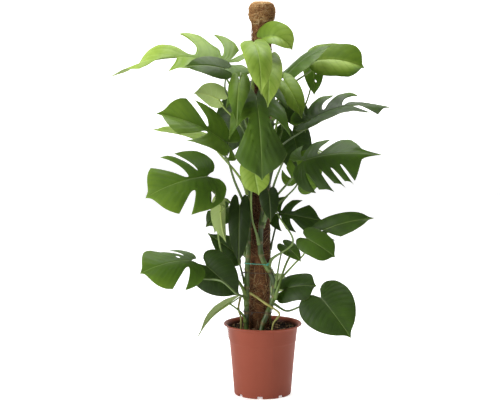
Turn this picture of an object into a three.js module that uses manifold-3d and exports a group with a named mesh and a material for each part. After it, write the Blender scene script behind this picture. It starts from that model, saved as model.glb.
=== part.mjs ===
// Potted swiss cheese plant: three climbing stems on a coir pole, in a tapered plastic nursery pot.
// Millimetres, +Z up, the front of the plant towards -Y.
// The origin is the middle of the flat underside that the pot stands on.
import * as THREE from "three";
import { mergeVertices } from "three/addons/utils/BufferGeometryUtils.js";
import Module from "manifold-3d";

// Driving dimensions of the pot
const POT_HEIGHT = 220;
const POT_LIP_RADIUS = 120;
const POT_BAND_RADIUS = 107;
const POT_SHOULDER_RADIUS = 101.5;
const POT_FOOT_RADIUS = 87;
const POT_BAND_HEIGHT = 55;
const POT_WALL = 2.2;
const POT_FLOOR_HEIGHT = 11;
const POT_PAD_RADIUS = 24;
const POT_SEGMENTS = 30;
const TAB_WIDTH = 12;
const TAB_STANDOFF = 3;
const FOOT_COUNT = 8;
const FOOT_NOTCH_WIDTH = 16;
const FOOT_NOTCH_START = -6;
const FOOT_NOTCH_HEIGHT = 8;
const FOOT_NOTCH_DEPTH = 16;

// Driving dimensions of the soil, the pole and what holds the plant
const SOIL_LEVEL = 203;
const POLE_FOOT = new THREE.Vector3(-13, 0, 60);
const POLE_TOP = new THREE.Vector3(-3, 0, 1196);
const COIR_RADIUS = 30;
const COIR_SEGMENTS = 18;
const COIR_RINGS = 8;
const COIR_FOOT_RADIUS = 33;
const KNOB_RADIUS = 39;
const KNOB_HEIGHT = 62;
const STAKE_RADIUS = 12;
const STAKE_SEGMENTS = 16;
const STAKE_FOOT_LENGTH = 35;
const STAKE_TOP_SETBACK = 30;
const STEM_RADIUS = 8.5;
const STEM_SIDES = 7;
const STEM_STEPS = 20;
const ROOT_RADIUS = 3.6;
const ROOT_SIDES = 6;
const ROOT_STEPS = 14;
const TIE_RADIUS = 1.1;
const TIE_SIDES = 4;
const TIE_POINTS = 26;
const TIE_STEPS = 36;
const HOLE_CLEARANCE = 0.5;
const SEAT_GAP = 0.3;

// Driving dimensions of the leaves
const BLADE_THICKNESS = 1;
const STALK_RADIUS = 3;
const STALK_SIDES = 5;
const STALK_STEPS = 6;
const BLADE_ROWS = 3;
const BLADE_COLUMNS = 6;
const SMALL_BLADE = 60;
const SMALL_BLADE_ROWS = 2;
const RIB_FAN = 0.38;
const RIB_SAG = 0.1;
const FIRST_VEIN = 0.1;
const LAST_VEINS = 0.92;
const OUTLINE_TIP = 1.02;
const SQUARING_MOST = 0.7;
const SQUARING_FALL = 1.9;
const WAVE_START = 0.25;
const FOLD_HOLD = 0.4;
const CUT_ROUNDING = 0.4;

const wasm = await Module();
wasm.setup();

const vec = (p) => new THREE.Vector3(...p);
const clamp01 = (t) => Math.min(Math.max(t, 0), 1);
const smooth = (t) => clamp01(t) ** 2 * (3 - 2 * clamp01(t));
const radians = THREE.MathUtils.degToRad;

// Solids: geometry to manifold and back

function toSolid(geometry) {
  const bare = geometry.clone();
  bare.deleteAttribute("normal");
  bare.deleteAttribute("uv");
  const merged = mergeVertices(bare, 1e-3);
  return new wasm.Manifold(
    new wasm.Mesh({
      numProp: 3,
      vertProperties: merged.attributes.position.array,
      triVerts: new Uint32Array(merged.index.array),
    }),
  );
}

function toGeometry(solid) {
  const mesh = solid.getMesh();
  const geometry = new THREE.BufferGeometry();
  geometry.setAttribute("position", new THREE.BufferAttribute(mesh.vertProperties, 3));
  geometry.setIndex(new THREE.BufferAttribute(mesh.triVerts, 1));
  geometry.computeVertexNormals();
  return geometry;
}

function material(color, roughness) {
  return new THREE.MeshStandardMaterial({ color, roughness, metalness: 0 });
}

function piece(name, geometry, look) {
  const mesh = new THREE.Mesh(geometry, look);
  mesh.name = name;
  return mesh;
}

// A round bar along a curve, closed at both ends
function bar(curve, radius, sides, steps) {
  const corners = Array.from({ length: sides }, (_, i) => (2 * Math.PI * i) / sides);
  const section = new THREE.Shape(
    corners.map((a) => new THREE.Vector2(radius * Math.cos(a), radius * Math.sin(a))),
  );
  return new THREE.ExtrudeGeometry(section, { steps, extrudePath: curve });
}

// A turned shape about +Z, from a profile of radius and height
function turned(profile, segments) {
  const points = profile.map(([radius, height]) => new THREE.Vector2(radius, height));
  return new THREE.LatheGeometry(points, segments).rotateX(Math.PI / 2);
}

// Pot

function potWallRadius(z) {
  const shoulder = POT_HEIGHT - POT_BAND_HEIGHT;
  if (z >= shoulder) {
    return THREE.MathUtils.lerp(POT_SHOULDER_RADIUS, POT_BAND_RADIUS, (z - shoulder) / POT_BAND_HEIGHT);
  }
  return THREE.MathUtils.lerp(POT_FOOT_RADIUS, POT_SHOULDER_RADIUS, z / shoulder);
}

function makePot() {
  const shoulder = POT_HEIGHT - POT_BAND_HEIGHT;
  const inside = (z) => potWallRadius(z) - POT_WALL;
  const profile = [
    [0, 0],
    [POT_PAD_RADIUS, 0],
    [POT_PAD_RADIUS + 2, POT_FLOOR_HEIGHT],
    [POT_FOOT_RADIUS - POT_WALL - 3, POT_FLOOR_HEIGHT],
    [POT_FOOT_RADIUS - POT_WALL - 1, 0],
    [POT_FOOT_RADIUS, 0],
    [potWallRadius(shoulder / 2), shoulder / 2],
    [POT_SHOULDER_RADIUS, shoulder],
    [potWallRadius(shoulder + 15) + 0.8, shoulder + 15],
    [POT_BAND_RADIUS, POT_HEIGHT - 14],
    [POT_BAND_RADIUS + 2, POT_HEIGHT - 8],
    [POT_LIP_RADIUS - 3, POT_HEIGHT - 5.5],
    [POT_LIP_RADIUS, POT_HEIGHT - 3],
    [POT_LIP_RADIUS - 1, POT_HEIGHT - 0.5],
    [POT_LIP_RADIUS - 3.5, POT_HEIGHT],
    [POT_BAND_RADIUS + 3, POT_HEIGHT - 4],
    [POT_BAND_RADIUS - POT_WALL, POT_HEIGHT - 13],
    [inside(shoulder + 15) + 0.6, shoulder + 15],
    [inside(shoulder), shoulder],
    [inside(POT_FLOOR_HEIGHT + 6), POT_FLOOR_HEIGHT + 6],
    [inside(POT_FLOOR_HEIGHT) - 4, POT_FLOOR_HEIGHT + POT_WALL],
    [0, POT_FLOOR_HEIGHT + POT_WALL],
  ];
  let pot = toSolid(turned(profile, POT_SEGMENTS));
  for (let i = 0; i < FOOT_COUNT; i++) {
    const notch = new THREE.BoxGeometry(FOOT_NOTCH_DEPTH, FOOT_NOTCH_WIDTH, 2 * FOOT_NOTCH_HEIGHT);
    const angle = FOOT_NOTCH_START + (360 * i) / FOOT_COUNT;
    notch.translate(POT_FOOT_RADIUS - 1, 0, 0).rotateZ(radians(angle));
    pot = pot.subtract(toSolid(notch));
  }
  return toGeometry(pot.add(toSolid(makeTab())));
}

// The raised tab on one side of the band, under the lip
function makeTab() {
  const shoulder = POT_HEIGHT - POT_BAND_HEIGHT;
  const foot = potWallRadius(shoulder + 4);
  const outline = [
    [foot - 1, shoulder + 4],
    [foot + TAB_STANDOFF, shoulder + 7],
    [POT_BAND_RADIUS + TAB_STANDOFF, POT_HEIGHT - 12],
    [POT_BAND_RADIUS + TAB_STANDOFF, POT_HEIGHT - 7],
    [POT_BAND_RADIUS, POT_HEIGHT - 8],
    [POT_BAND_RADIUS - 1, POT_HEIGHT - 16],
  ];
  const shape = new THREE.Shape(outline.map(([radius, height]) => new THREE.Vector2(-radius, height)));
  const tab = new THREE.ExtrudeGeometry(shape, { depth: TAB_WIDTH, bevelEnabled: false });
  return tab.rotateX(Math.PI / 2).translate(0, TAB_WIDTH / 2, 0);
}

// Pole: a stake inside a coir sleeve that ends in a knob

const poleAxis = POLE_TOP.clone().sub(POLE_FOOT).normalize();
const poleLean = new THREE.Quaternion().setFromUnitVectors(new THREE.Vector3(0, 0, 1), poleAxis);
const POLE_LENGTH = POLE_TOP.distanceTo(POLE_FOOT);

function onPole(geometry) {
  return geometry.applyQuaternion(poleLean).translate(...POLE_FOOT);
}

function poleAt(z) {
  return POLE_FOOT.clone().addScaledVector(poleAxis, (z - POLE_FOOT.z) / poleAxis.z);
}

function coirRadius(along) {
  const body = THREE.MathUtils.lerp(COIR_FOOT_RADIUS, COIR_RADIUS, clamp01(along / 500));
  return body + 0.7 * Math.sin(along / 23) * smooth(along / 120);
}

function makeCoir() {
  const knobStart = POLE_LENGTH - KNOB_HEIGHT;
  const boreTop = POLE_LENGTH - STAKE_TOP_SETBACK;
  const boreRadius = STAKE_RADIUS + SEAT_GAP;
  const profile = [
    [boreRadius, 0],
    [coirRadius(0), 0],
  ];
  for (let i = 1; i < COIR_RINGS; i++) {
    const along = (knobStart * i) / COIR_RINGS;
    profile.push([coirRadius(along), along]);
  }
  profile.push(
    [COIR_RADIUS, knobStart],
    [COIR_RADIUS + 6, knobStart + 9],
    [KNOB_RADIUS, knobStart + 24],
    [KNOB_RADIUS, POLE_LENGTH - 18],
    [KNOB_RADIUS - 5, POLE_LENGTH - 6],
    [KNOB_RADIUS - 17, POLE_LENGTH],
    [0, POLE_LENGTH],
    [0, boreTop],
    [boreRadius, boreTop],
    [boreRadius, 0],
  );
  return onPole(turned(profile, COIR_SEGMENTS));
}

function makeStake() {
  const length = POLE_LENGTH + STAKE_FOOT_LENGTH - STAKE_TOP_SETBACK - SEAT_GAP;
  const stake = new THREE.CylinderGeometry(STAKE_RADIUS, STAKE_RADIUS, length, STAKE_SEGMENTS);
  stake.rotateX(Math.PI / 2).translate(0, 0, length / 2 - STAKE_FOOT_LENGTH);
  return onPole(stake);
}

// Stems: each route is a list of points that starts in the soil

const STEM_ROUTES = {
  left: [
    [-50, -42, 150],
    [-50, -38, 230],
    [-49, -38, 306],
    [-48, -38, 372],
    [-44, -36, 480],
    [-40, -37, 600],
    [-38, -37, 760],
    [-36, -36, 900],
    [-34, -35, 962],
  ],
  right: [
    [-12, -70, 150],
    [-3, -62, 215],
    [14, -54, 260],
    [33, -42, 306],
    [33, -43, 350],
    [20, -49, 388],
    [1, -53, 420],
    [-8, -52, 460],
    [-4, -50, 540],
    [12, -46, 640],
    [24, -40, 760],
    [28, -36, 900],
  ],
  back: [
    [22, 48, 150],
    [18, 46, 260],
    [16, 45, 500],
    [6, 45, 800],
    [2, 44, 960],
  ],
};

const curveThrough = (route) => new THREE.CatmullRomCurve3(route.map(vec), false, "catmullrom");
const stemCurves = {};
for (const [name, route] of Object.entries(STEM_ROUTES)) stemCurves[name] = curveThrough(route);

// The point of a stem's middle line at a height
function stemAt(name, height) {
  const points = stemCurves[name].getPoints(200);
  const above = points.findIndex((p) => p.z >= height);
  const [low, high] = [points[above - 1], points[above]];
  return low.clone().lerp(high, (height - low.z) / (high.z - low.z));
}

function makeStem(name, radius = STEM_RADIUS) {
  return bar(stemCurves[name], radius, STEM_SIDES, STEM_STEPS);
}

// What a stalk is trimmed with, so that its foot lies against the stem
const seatRadius = STEM_RADIUS + SEAT_GAP / Math.cos(Math.PI / STEM_SIDES);
const stemSeats = {};
for (const name of Object.keys(stemCurves)) stemSeats[name] = toSolid(makeStem(name, seatRadius));

const ROOT_ROUTES = {
  crossing: [
    [-40, -52, 322],
    [-22, -60, 312],
    [8, -68, 292],
    [44, -66, 268],
    [50, -64, 255],
    [42, -68, 245],
    [30, -74, 225],
    [26, -76, 170],
  ],
  side: [
    [-68, -38, 306],
    [-74, -36, 270],
    [-66, -38, 235],
    [-70, -40, 170],
  ],
};

// Soil: fills the pot, with a plain hole for the pole and for each stem and root

function makeSoil() {
  const floor = POT_FLOOR_HEIGHT + POT_WALL + SEAT_GAP;
  const shoulder = POT_HEIGHT - POT_BAND_HEIGHT;
  const reach = (z) => potWallRadius(z) - POT_WALL - 0.6;
  const profile = [
    [0, floor],
    [reach(floor) - 5, floor],
    [reach(floor + 5) - 1, floor + 5],
    [reach(shoulder), shoulder],
    [reach(SOIL_LEVEL) - 1, SOIL_LEVEL - 2],
    [92, SOIL_LEVEL + 1],
    [62, SOIL_LEVEL - 1],
    [34, SOIL_LEVEL + 2],
    [0, SOIL_LEVEL + 1],
  ];
  let soil = toSolid(turned(profile, POT_SEGMENTS));
  const poleHole = [
    new THREE.LineCurve3(poleAt(POLE_FOOT.z - SEAT_GAP), poleAt(POT_HEIGHT)),
    COIR_FOOT_RADIUS + HOLE_CLEARANCE,
    COIR_SEGMENTS,
  ];
  const stakeHole = [
    new THREE.LineCurve3(poleAt(POLE_FOOT.z - STAKE_FOOT_LENGTH - 1), poleAt(POLE_FOOT.z + 5)),
    STAKE_RADIUS + HOLE_CLEARANCE,
    STAKE_SEGMENTS,
  ];
  const stemHoles = Object.values(STEM_ROUTES).map((route) => plantHole(route, STEM_RADIUS));
  const rootHoles = Object.values(ROOT_ROUTES).map((route) =>
    plantHole([...route].reverse(), ROOT_RADIUS),
  );
  for (const [line, radius, sides] of [poleHole, stakeHole, ...stemHoles, ...rootHoles]) {
    soil = soil.subtract(toSolid(bar(line, radius, sides, 1)));
  }
  return toGeometry(soil);
}

// The hole of a stem or root: straight, from under its end to above the soil
function plantHole(route, radius) {
  const end = vec(route[0]);
  const next = vec(route[1]);
  const along = next.clone().sub(end).normalize();
  const top = end.clone().addScaledVector(along, (POT_HEIGHT - end.z) / along.z);
  const bottom = end.clone().addScaledVector(along, -1);
  return [new THREE.LineCurve3(bottom, top), radius + 3 * HOLE_CLEARANCE, 10];
}

// Ties: a wire pulled round the pole and the stems at a height, like a belt round posts

const TIES = [
  { name: "tie_low", height: 262, slack: 2, color: 0x5d5340 },
  { name: "tie_middle", height: 382, slack: 1, color: 0x6a5a44 },
  { name: "tie_green", height: 410, slack: 2, color: 0x2f8f7c },
];

function makeTie({ height, slack }) {
  const pole = poleAt(height);
  const posts = [{ x: pole.x, y: pole.y, radius: COIR_FOOT_RADIUS + 1 }];
  for (const name of Object.keys(stemCurves)) {
    const stem = stemAt(name, height);
    posts.push({ x: stem.x, y: stem.y, radius: STEM_RADIUS });
  }
  const reach = (a) =>
    Math.max(...posts.map((p) => p.x * Math.cos(a) + p.y * Math.sin(a) + p.radius + TIE_RADIUS + slack));
  const steps = 36;
  const points = Array.from({ length: steps }, (_, i) => {
    const a = (2 * Math.PI * i) / steps;
    const turn = Math.PI / steps;
    const across = (reach(a + turn) - reach(a - turn)) / (2 * turn);
    const x = reach(a) * Math.cos(a) - across * Math.sin(a);
    const y = reach(a) * Math.sin(a) + across * Math.cos(a);
    return new THREE.Vector3(x, y, height + 1.5 * Math.sin(2 * a));
  });
  const belt = new THREE.CatmullRomCurve3(points, true, "centripetal");
  const loop = new THREE.CatmullRomCurve3(belt.getSpacedPoints(TIE_POINTS).slice(1), true);
  return new THREE.TubeGeometry(loop, TIE_STEPS, TIE_RADIUS, TIE_SIDES, true);
}

// Leaves. A flat half blade is measured in half widths from the midrib and in lengths from the
// junction. Its side veins run from the midrib to this outline and carry the cuts between lobes.

const OUTLINE = new THREE.SplineCurve(
  [
    [0, 0],
    [0.16, -0.15],
    [0.46, -0.22],
    [0.8, -0.13],
    [0.99, 0.07],
    [1, 0.28],
    [0.88, 0.48],
    [0.68, 0.66],
    [0.43, 0.81],
    [0.17, 0.92],
    [0, OUTLINE_TIP],
  ].map(([across, along]) => new THREE.Vector2(across, along)),
);

// A cut: the side vein it lies on, where it starts along the vein, and how far it opens each way
const cut = (vein, start, back, forward) => ({ vein, start, back, forward });
const hole = (vein, start, end, open) => ({ vein, start, end, open });

const ONE_CUT = [cut(0.45, 0.35, 0.02, 0.05)];
const BAY_CUTS = [cut(0.58, 0.42, 0.03, 0.08)];
const SPLIT_CUTS = [cut(0.42, 0.5, 0.01, 0.03), cut(0.6, 0.35, 0.03, 0.1)];
const WIDE_CUT = [cut(0.48, 0.3, 0.03, 0.1)];
const TWO_CUTS = [cut(0.42, 0.42, 0.02, 0.05), cut(0.6, 0.42, 0.02, 0.05)];
const THREE_CUTS = [0.36, 0.5, 0.64].map((vein) => cut(vein, 0.4, 0.02, 0.05));
const TWO_DEEP_CUTS = [cut(0.44, 0.15, 0.02, 0.05), cut(0.6, 0.25, 0.02, 0.08)];
const TALL_CUTS = [cut(0.25, 0.3, 0.012, 0.02), cut(0.42, 0.2, 0.02, 0.03), cut(0.6, 0.1, 0.05, 0.1)];
const HANGING_CUTS = [cut(0.48, 0.15, 0.03, 0.05), cut(0.7, 0.12, 0.02, 0.12)];
const FINGER_CUTS = [cut(0.36, 0.4, 0.01, 0.02), cut(0.62, 0.15, 0.03, 0.05)];
const SWEPT_CUTS = [cut(0.49, 0.22, 0.012, 0.035), cut(0.62, 0.08, 0.035, 0.1)];
const RAY_CUTS = [cut(0.4, 0.3, 0.01, 0.03), cut(0.55, 0.15, 0.02, 0.05), cut(0.7, 0.1, 0.02, 0.06)];
const REACHING_CUTS = [cut(0.74, 0.1, 0.03, 0.1)];
const UPRIGHT_CUTS = [cut(0.4, 0.2, 0.03, 0.04), cut(0.58, 0.12, 0.03, 0.09)];
const RAGGED_CUTS = [0.4, 0.53, 0.64, 0.74].map((vein) => cut(vein, 0.42, 0.015, 0.03));
const BAY_HOLE = [hole(0.42, 0.5, 0.85, 0.035)];
const ONE_HOLE = [hole(0.54, 0.18, 0.36, 0.02)];
const TWO_HOLES = [hole(0.6, 0.16, 0.4, 0.02), hole(0.75, 0.16, 0.45, 0.02)];

const BRIGHT_GREEN = 0x8fae4a;
const MID_GREEN = 0x56783a;
const DARK_GREEN = 0x36502c;
const PALE_GREEN = 0x9fae7c;

// Each leaf: its stem, the height and compass side where its stalk leaves the stem, the junction and
// the tip of the midrib, the way its upper face looks, its half width, and the arch of its midrib.
// left and right hold a half's fold at the midrib, its further bend to the edge and, where it differs,
// its fold at the tip, in degrees. full squares the outline off and drip draws the tip out, both as
// shares. by lists the places that a stalk passes, and land is the share of its span in which it turns
// up to the junction.
const LEAVES = [
  {
    stem: "left", node: 800, side: 140, base: [-122, 45, 1012], tip: [-440, -45, 984],
    face: [0, 6, 100], width: 140, arch: 0.1, left: [0, -45, 10], right: [50, -15, -45],
    leftCuts: HANGING_CUTS, rightCuts: TALL_CUTS, full: -0.6, color: MID_GREEN,
  },
  {
    stem: "right", node: 845, side: 320, base: [-2, -60, 1090], tip: [84, -85, 1058],
    face: [0, -50, 85], width: 49, arch: 0.26, left: [42, -25], right: [22, -50],
    full: 0.6, color: BRIGHT_GREEN,
  },
  {
    stem: "left", node: 930, side: 290, base: [-27, -139, 1080], tip: [-7, -240, 940],
    face: [10, -80, 60], width: 46, arch: 0.24, left: [10, -50], right: [10, -50],
    full: 0.3, color: BRIGHT_GREEN,
  },
  {
    stem: "right", node: 880, side: 225, base: [16, -106, 1030], tip: [13, -196, 900],
    face: [10, -90, 40], width: 42, arch: 0.12, left: [10, -40], right: [10, -40],
    color: BRIGHT_GREEN,
  },
  {
    stem: "left", node: 860, side: 230, base: [-70, -136, 968], tip: [-77, -214, 848],
    face: [-10, -95, 20], width: 34, arch: 0.1, left: [10, -50], right: [10, -50],
    by: [[-62, -62, 940], [-66, -92, 988]],
    land: 0.1, full: -0.5, color: MID_GREEN,
  },
  {
    stem: "left", node: 780, side: 150, base: [-130, -15, 905], tip: [-205, -30, 925],
    face: [0, 60, 80], width: 42, arch: 0.1, left: [40, 60], right: [10, -40],
    color: PALE_GREEN,
  },
  {
    stem: "left", node: 540, side: 200, base: [-114, -90, 785], tip: [-305, -140, 870],
    face: [10, -75, 65], width: 80, arch: 0.1, left: [25, -15], right: [12, -15, 30],
    by: [[-60, -50, 600], [-86, -62, 665], [-108, -74, 735]],
    leftCuts: FINGER_CUTS, rightCuts: FINGER_CUTS, full: 1, color: MID_GREEN,
  },
  {
    stem: "right", node: 740, side: 270, base: [-21, -125, 925], tip: [-4, -210, 692],
    face: [5, -90, 45], width: 90, arch: 0.17, left: [12, -40], right: [12, -40],
    leftCuts: SPLIT_CUTS, rightCuts: SPLIT_CUTS, full: 1.1, color: MID_GREEN,
  },
  {
    stem: "back", node: 860, side: 0, base: [73, 22, 979], tip: [212, 72, 1065],
    face: [-42, -25, 88], width: 54, arch: 0.08, left: [5, -20], right: [5, -30],
    land: 0.25, color: MID_GREEN,
  },
  {
    stem: "right", node: 862, side: 60, base: [170, 85, 1020], tip: [308, 105, 998],
    face: [0, -30, 95], width: 58, arch: 0.08, left: [45, -10, 70], right: [-15, -50],
    full: 1.2, color: BRIGHT_GREEN,
  },
  {
    stem: "back", node: 790, side: 20, base: [155, 130, 1004], tip: [159, 112, 914],
    face: [10, -95, 15], width: 31, arch: 0.1, left: [10, -20], right: [10, -20],
    by: [[110, 90, 850], [148, 125, 930]],
    leftHoles: TWO_HOLES, land: 0.1, color: MID_GREEN,
  },
  {
    stem: "right", node: 720, side: 330, base: [139, -80, 848], tip: [368, -60, 886],
    face: [-10, -12, 98], width: 84, arch: 0.1, left: [34, -20, 8], right: [8, -30, -5],
    leftCuts: RAY_CUTS, rightCuts: REACHING_CUTS, full: 0.5, color: DARK_GREEN,
  },
  {
    stem: "right", node: 790, side: 350, base: [62, -40, 962], tip: [114, -80, 858],
    face: [20, -80, 50], width: 40, arch: 0.12, left: [15, -45], right: [15, -45],
    color: MID_GREEN,
  },
  {
    stem: "back", node: 700, side: 0, base: [84, 60, 890], tip: [130, 45, 805],
    face: [20, -80, 50], width: 46, arch: 0.1, left: [15, -45], right: [15, -45],
    by: [[58, 60, 800]],
    color: DARK_GREEN,
  },
  {
    stem: "right", node: 470, side: 230, base: [-30, -100, 716], tip: [-14, -140, 634],
    face: [0, -95, 30], width: 44, arch: 0.05, left: [15, -45], right: [15, -45],
    by: [[-32, -78, 550], [-35, -100, 640]],
    full: 0.8, land: 0.1, color: BRIGHT_GREEN,
  },
  {
    stem: "right", node: 400, side: 0, base: [17, -80, 632], tip: [22, -108, 550],
    face: [10, -95, 20], width: 30, arch: 0.08, left: [15, -45], right: [15, -45],
    by: [[90, -75, 480], [48, -90, 560]],
    land: 0.1, color: DARK_GREEN,
  },
  {
    stem: "right", node: 540, side: 330, base: [119, -80, 727], tip: [300, -80, 749],
    face: [0, -50, 85], width: 108, arch: 0.06, left: [-5, -10], right: [-15, -60],
    leftCuts: UPRIGHT_CUTS, rightCuts: RAGGED_CUTS, full: 1.2, drip: 0.28, color: DARK_GREEN,
  },
  {
    stem: "right", node: 520, side: 30, base: [106, -15, 655], tip: [160, 10, 755],
    face: [20, -90, 40], width: 60, arch: 0.08, left: [15, -45], right: [15, -45],
    leftCuts: TWO_CUTS, color: DARK_GREEN,
  },
  {
    stem: "right", node: 300, side: 330, base: [182, -40, 512], tip: [329, -50, 550],
    face: [-20, -80, 60], width: 36, arch: 0.08, left: [20, -20], right: [-10, -30],
    by: [[82, -22, 428], [132, -24, 478]],
    rightCuts: ONE_CUT, full: 0.3, color: DARK_GREEN,
  },
  {
    stem: "back", node: 440, side: 340, base: [50, 26, 556], tip: [177, 0, 536],
    face: [0, -90, 20], width: 52, arch: 0.05, left: [10, -20], right: [10, -20],
    leftCuts: TWO_DEEP_CUTS, rightCuts: TWO_DEEP_CUTS, full: 0.4, color: DARK_GREEN,
  },
  {
    stem: "right", node: 335, side: 300, base: [65, -24, 465], tip: [114, -50, 419],
    face: [20, -80, 50], width: 27, arch: 0.1, left: [15, -45], right: [15, -45],
    color: DARK_GREEN,
  },
  {
    stem: "right", node: 300, side: 40, base: [62, -20, 325], tip: [158, -60, 345],
    face: [0, -70, 60], width: 50, arch: 0.1, left: [15, -45], right: [15, -45],
    full: 1.5, color: DARK_GREEN,
  },
  {
    stem: "right", node: 272, side: 0, base: [174, -80, 313], tip: [259, -130, 205],
    face: [10, -95, 25], width: 85, arch: 0.08, left: [10, -30], right: [10, -30],
    by: [[72, -50, 266], [122, -62, 284]],
    color: DARK_GREEN,
  },
  {
    stem: "left", node: 500, side: 200, base: [-165, -110, 684], tip: [-338, -165, 630],
    face: [-10, -75, 60], width: 104, arch: 0.1, left: [5, -40], right: [10, -15],
    by: [[-92, -42, 590]],
    leftCuts: BAY_CUTS, rightCuts: SWEPT_CUTS, full: 1, leftHoles: BAY_HOLE, color: MID_GREEN,
  },
  {
    stem: "left", node: 300, side: 225, base: [-128, -106, 602], tip: [-112, -126, 492],
    face: [-40, 70, 10], width: 28, arch: 0.1, left: [20, 20], right: [20, 20],
    by: [[-124, -30, 440], [-134, -84, 560]],
    land: 0.1, color: PALE_GREEN,
  },
  {
    stem: "left", node: 460, side: 240, base: [-70, -80, 590], tip: [-72, -125, 425],
    face: [-10, -95, 10], width: 34, arch: 0.06, left: [15, -45], right: [15, -45],
    color: DARK_GREEN,
  },
  {
    stem: "left", node: 348, side: 180, base: [-75, 12, 428], tip: [-164, -10, 496],
    face: [-20, -90, 30], width: 42, arch: 0.06, left: [10, -30], right: [10, -30],
    full: -0.3, color: DARK_GREEN,
  },
  {
    stem: "left", node: 280, side: 250, base: [-214, -105, 430], tip: [-358, -155, 402],
    face: [-10, -70, 70], width: 85, arch: 0.1, left: [5, -50], right: [-15, -20, 12],
    by: [[-81, -134, 336], [-123, -124, 370]],
    leftCuts: WIDE_CUT, rightCuts: ONE_CUT, rightHoles: ONE_HOLE, full: 1.2, color: MID_GREEN,
  },
  {
    stem: "left", node: 320, side: 175, base: [-172, -64, 408], tip: [-74, -84, 322],
    face: [-10, -90, 30], width: 66, arch: 0.06, left: [15, -45], right: [15, -45],
    color: DARK_GREEN,
  },
  {
    stem: "left", node: 230, side: 240, base: [-97, -70, 297], tip: [-196, -110, 198],
    face: [-70, 40, 50], width: 26, arch: 0.08, left: [10, 10], right: [10, 10],
    color: PALE_GREEN,
  },
  {
    stem: "left", node: 430, side: 190, base: [-107, 5, 576], tip: [-171, -20, 521],
    face: [-20, -80, 40], width: 44, arch: 0.06, left: [15, -45], right: [15, -45],
    rightCuts: TWO_CUTS, color: DARK_GREEN,
  },
  {
    stem: "back", node: 700, side: 200, base: [-75, 80, 880], tip: [-110, 85, 730],
    face: [-30, -60, 30], width: 72, arch: 0.06, left: [15, -45], right: [15, -45],
    color: DARK_GREEN,
  },
  {
    stem: "back", node: 640, side: 340, base: [92, 108, 800], tip: [116, 114, 660],
    face: [30, -60, 30], width: 68, arch: 0.06, left: [15, -45], right: [15, -45],
    color: DARK_GREEN,
  },
  {
    stem: "left", node: 620, side: 180, base: [-150, -10, 782], tip: [-328, -20, 815],
    face: [0, -38, 92], width: 34, arch: 0.05, left: [5, -10], right: [5, -10],
    color: BRIGHT_GREEN,
  },
  {
    stem: "back", node: 820, side: 110, base: [-20, 150, 940], tip: [-60, 290, 850],
    face: [-30, 60, 70], width: 85, arch: 0.12, left: [15, -45], right: [15, -45],
    leftCuts: THREE_CUTS, rightCuts: THREE_CUTS, full: 0.5, color: MID_GREEN,
  },
  {
    stem: "back", node: 560, side: 60, base: [80, 190, 740], tip: [180, 300, 670],
    face: [40, 60, 70], width: 90, arch: 0.12, left: [15, -45], right: [15, -45],
    leftCuts: THREE_CUTS, rightCuts: THREE_CUTS, full: 0.5, color: MID_GREEN,
  },
  {
    stem: "back", node: 420, side: 120, base: [-60, 150, 560], tip: [-150, 240, 470],
    face: [-40, 60, 60], width: 80, arch: 0.12, left: [15, -45], right: [15, -45],
    leftCuts: ONE_CUT, rightCuts: TWO_CUTS, color: MID_GREEN,
  },
  {
    stem: "back", node: 320, side: 60, base: [40, 130, 350], tip: [28, 215, 268],
    face: [40, 70, 40], width: 50, arch: 0.1, left: [15, -45], right: [15, -45],
    color: DARK_GREEN,
  },
  {
    stem: "left", node: 755, side: 235, base: [-115, -142, 1003], tip: [-226, -170, 1010],
    face: [0, -70, 75], width: 40, arch: 0.08, left: [0, -20], right: [8, -10],
    by: [[-78, -34, 860], [-112, -80, 938]],
    land: 0.1, color: MID_GREEN,
  },
  {
    stem: "right", node: 330, side: 20, base: [130, -70, 492], tip: [213, -90, 440],
    face: [10, -85, 40], width: 44, arch: 0.08, left: [10, -25], right: [10, -25],
    by: [[95, -25, 405], [126, -52, 445]],
    full: 1, land: 0.1, color: DARK_GREEN,
  },
];

// A point of the flat half blade: how far along which side vein it lies
function flatPoint(vein, along, fullness, drip) {
  const edge = OUTLINE.getPoint(vein);
  if (edge.x > 0 && edge.y > 0) {
    edge.x **= 1 - fullness * Math.min(SQUARING_FALL * (1 - vein), 2 * edge.y, SQUARING_MOST);
    edge.y += 0.1 * fullness * Math.sin(Math.PI * Math.min(edge.y, 1));
  }
  const start = new THREE.Vector2(0, Math.max((vein - RIB_FAN) / (1 - RIB_FAN), 0) ** 1.25);
  const tipShare = smooth((vein - LAST_VEINS) / (1 - LAST_VEINS));
  edge.y += drip * tipShare;
  start.y += (OUTLINE_TIP - 1 + drip) * tipShare;
  const middle = start.clone().add(edge).multiplyScalar(0.5);
  middle.y -= RIB_SAG * (2 * smooth(vein / RIB_FAN) - 1) * start.distanceTo(edge);
  return new THREE.QuadraticBezierCurve(start, middle, edge).getPoint(along);
}

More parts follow.
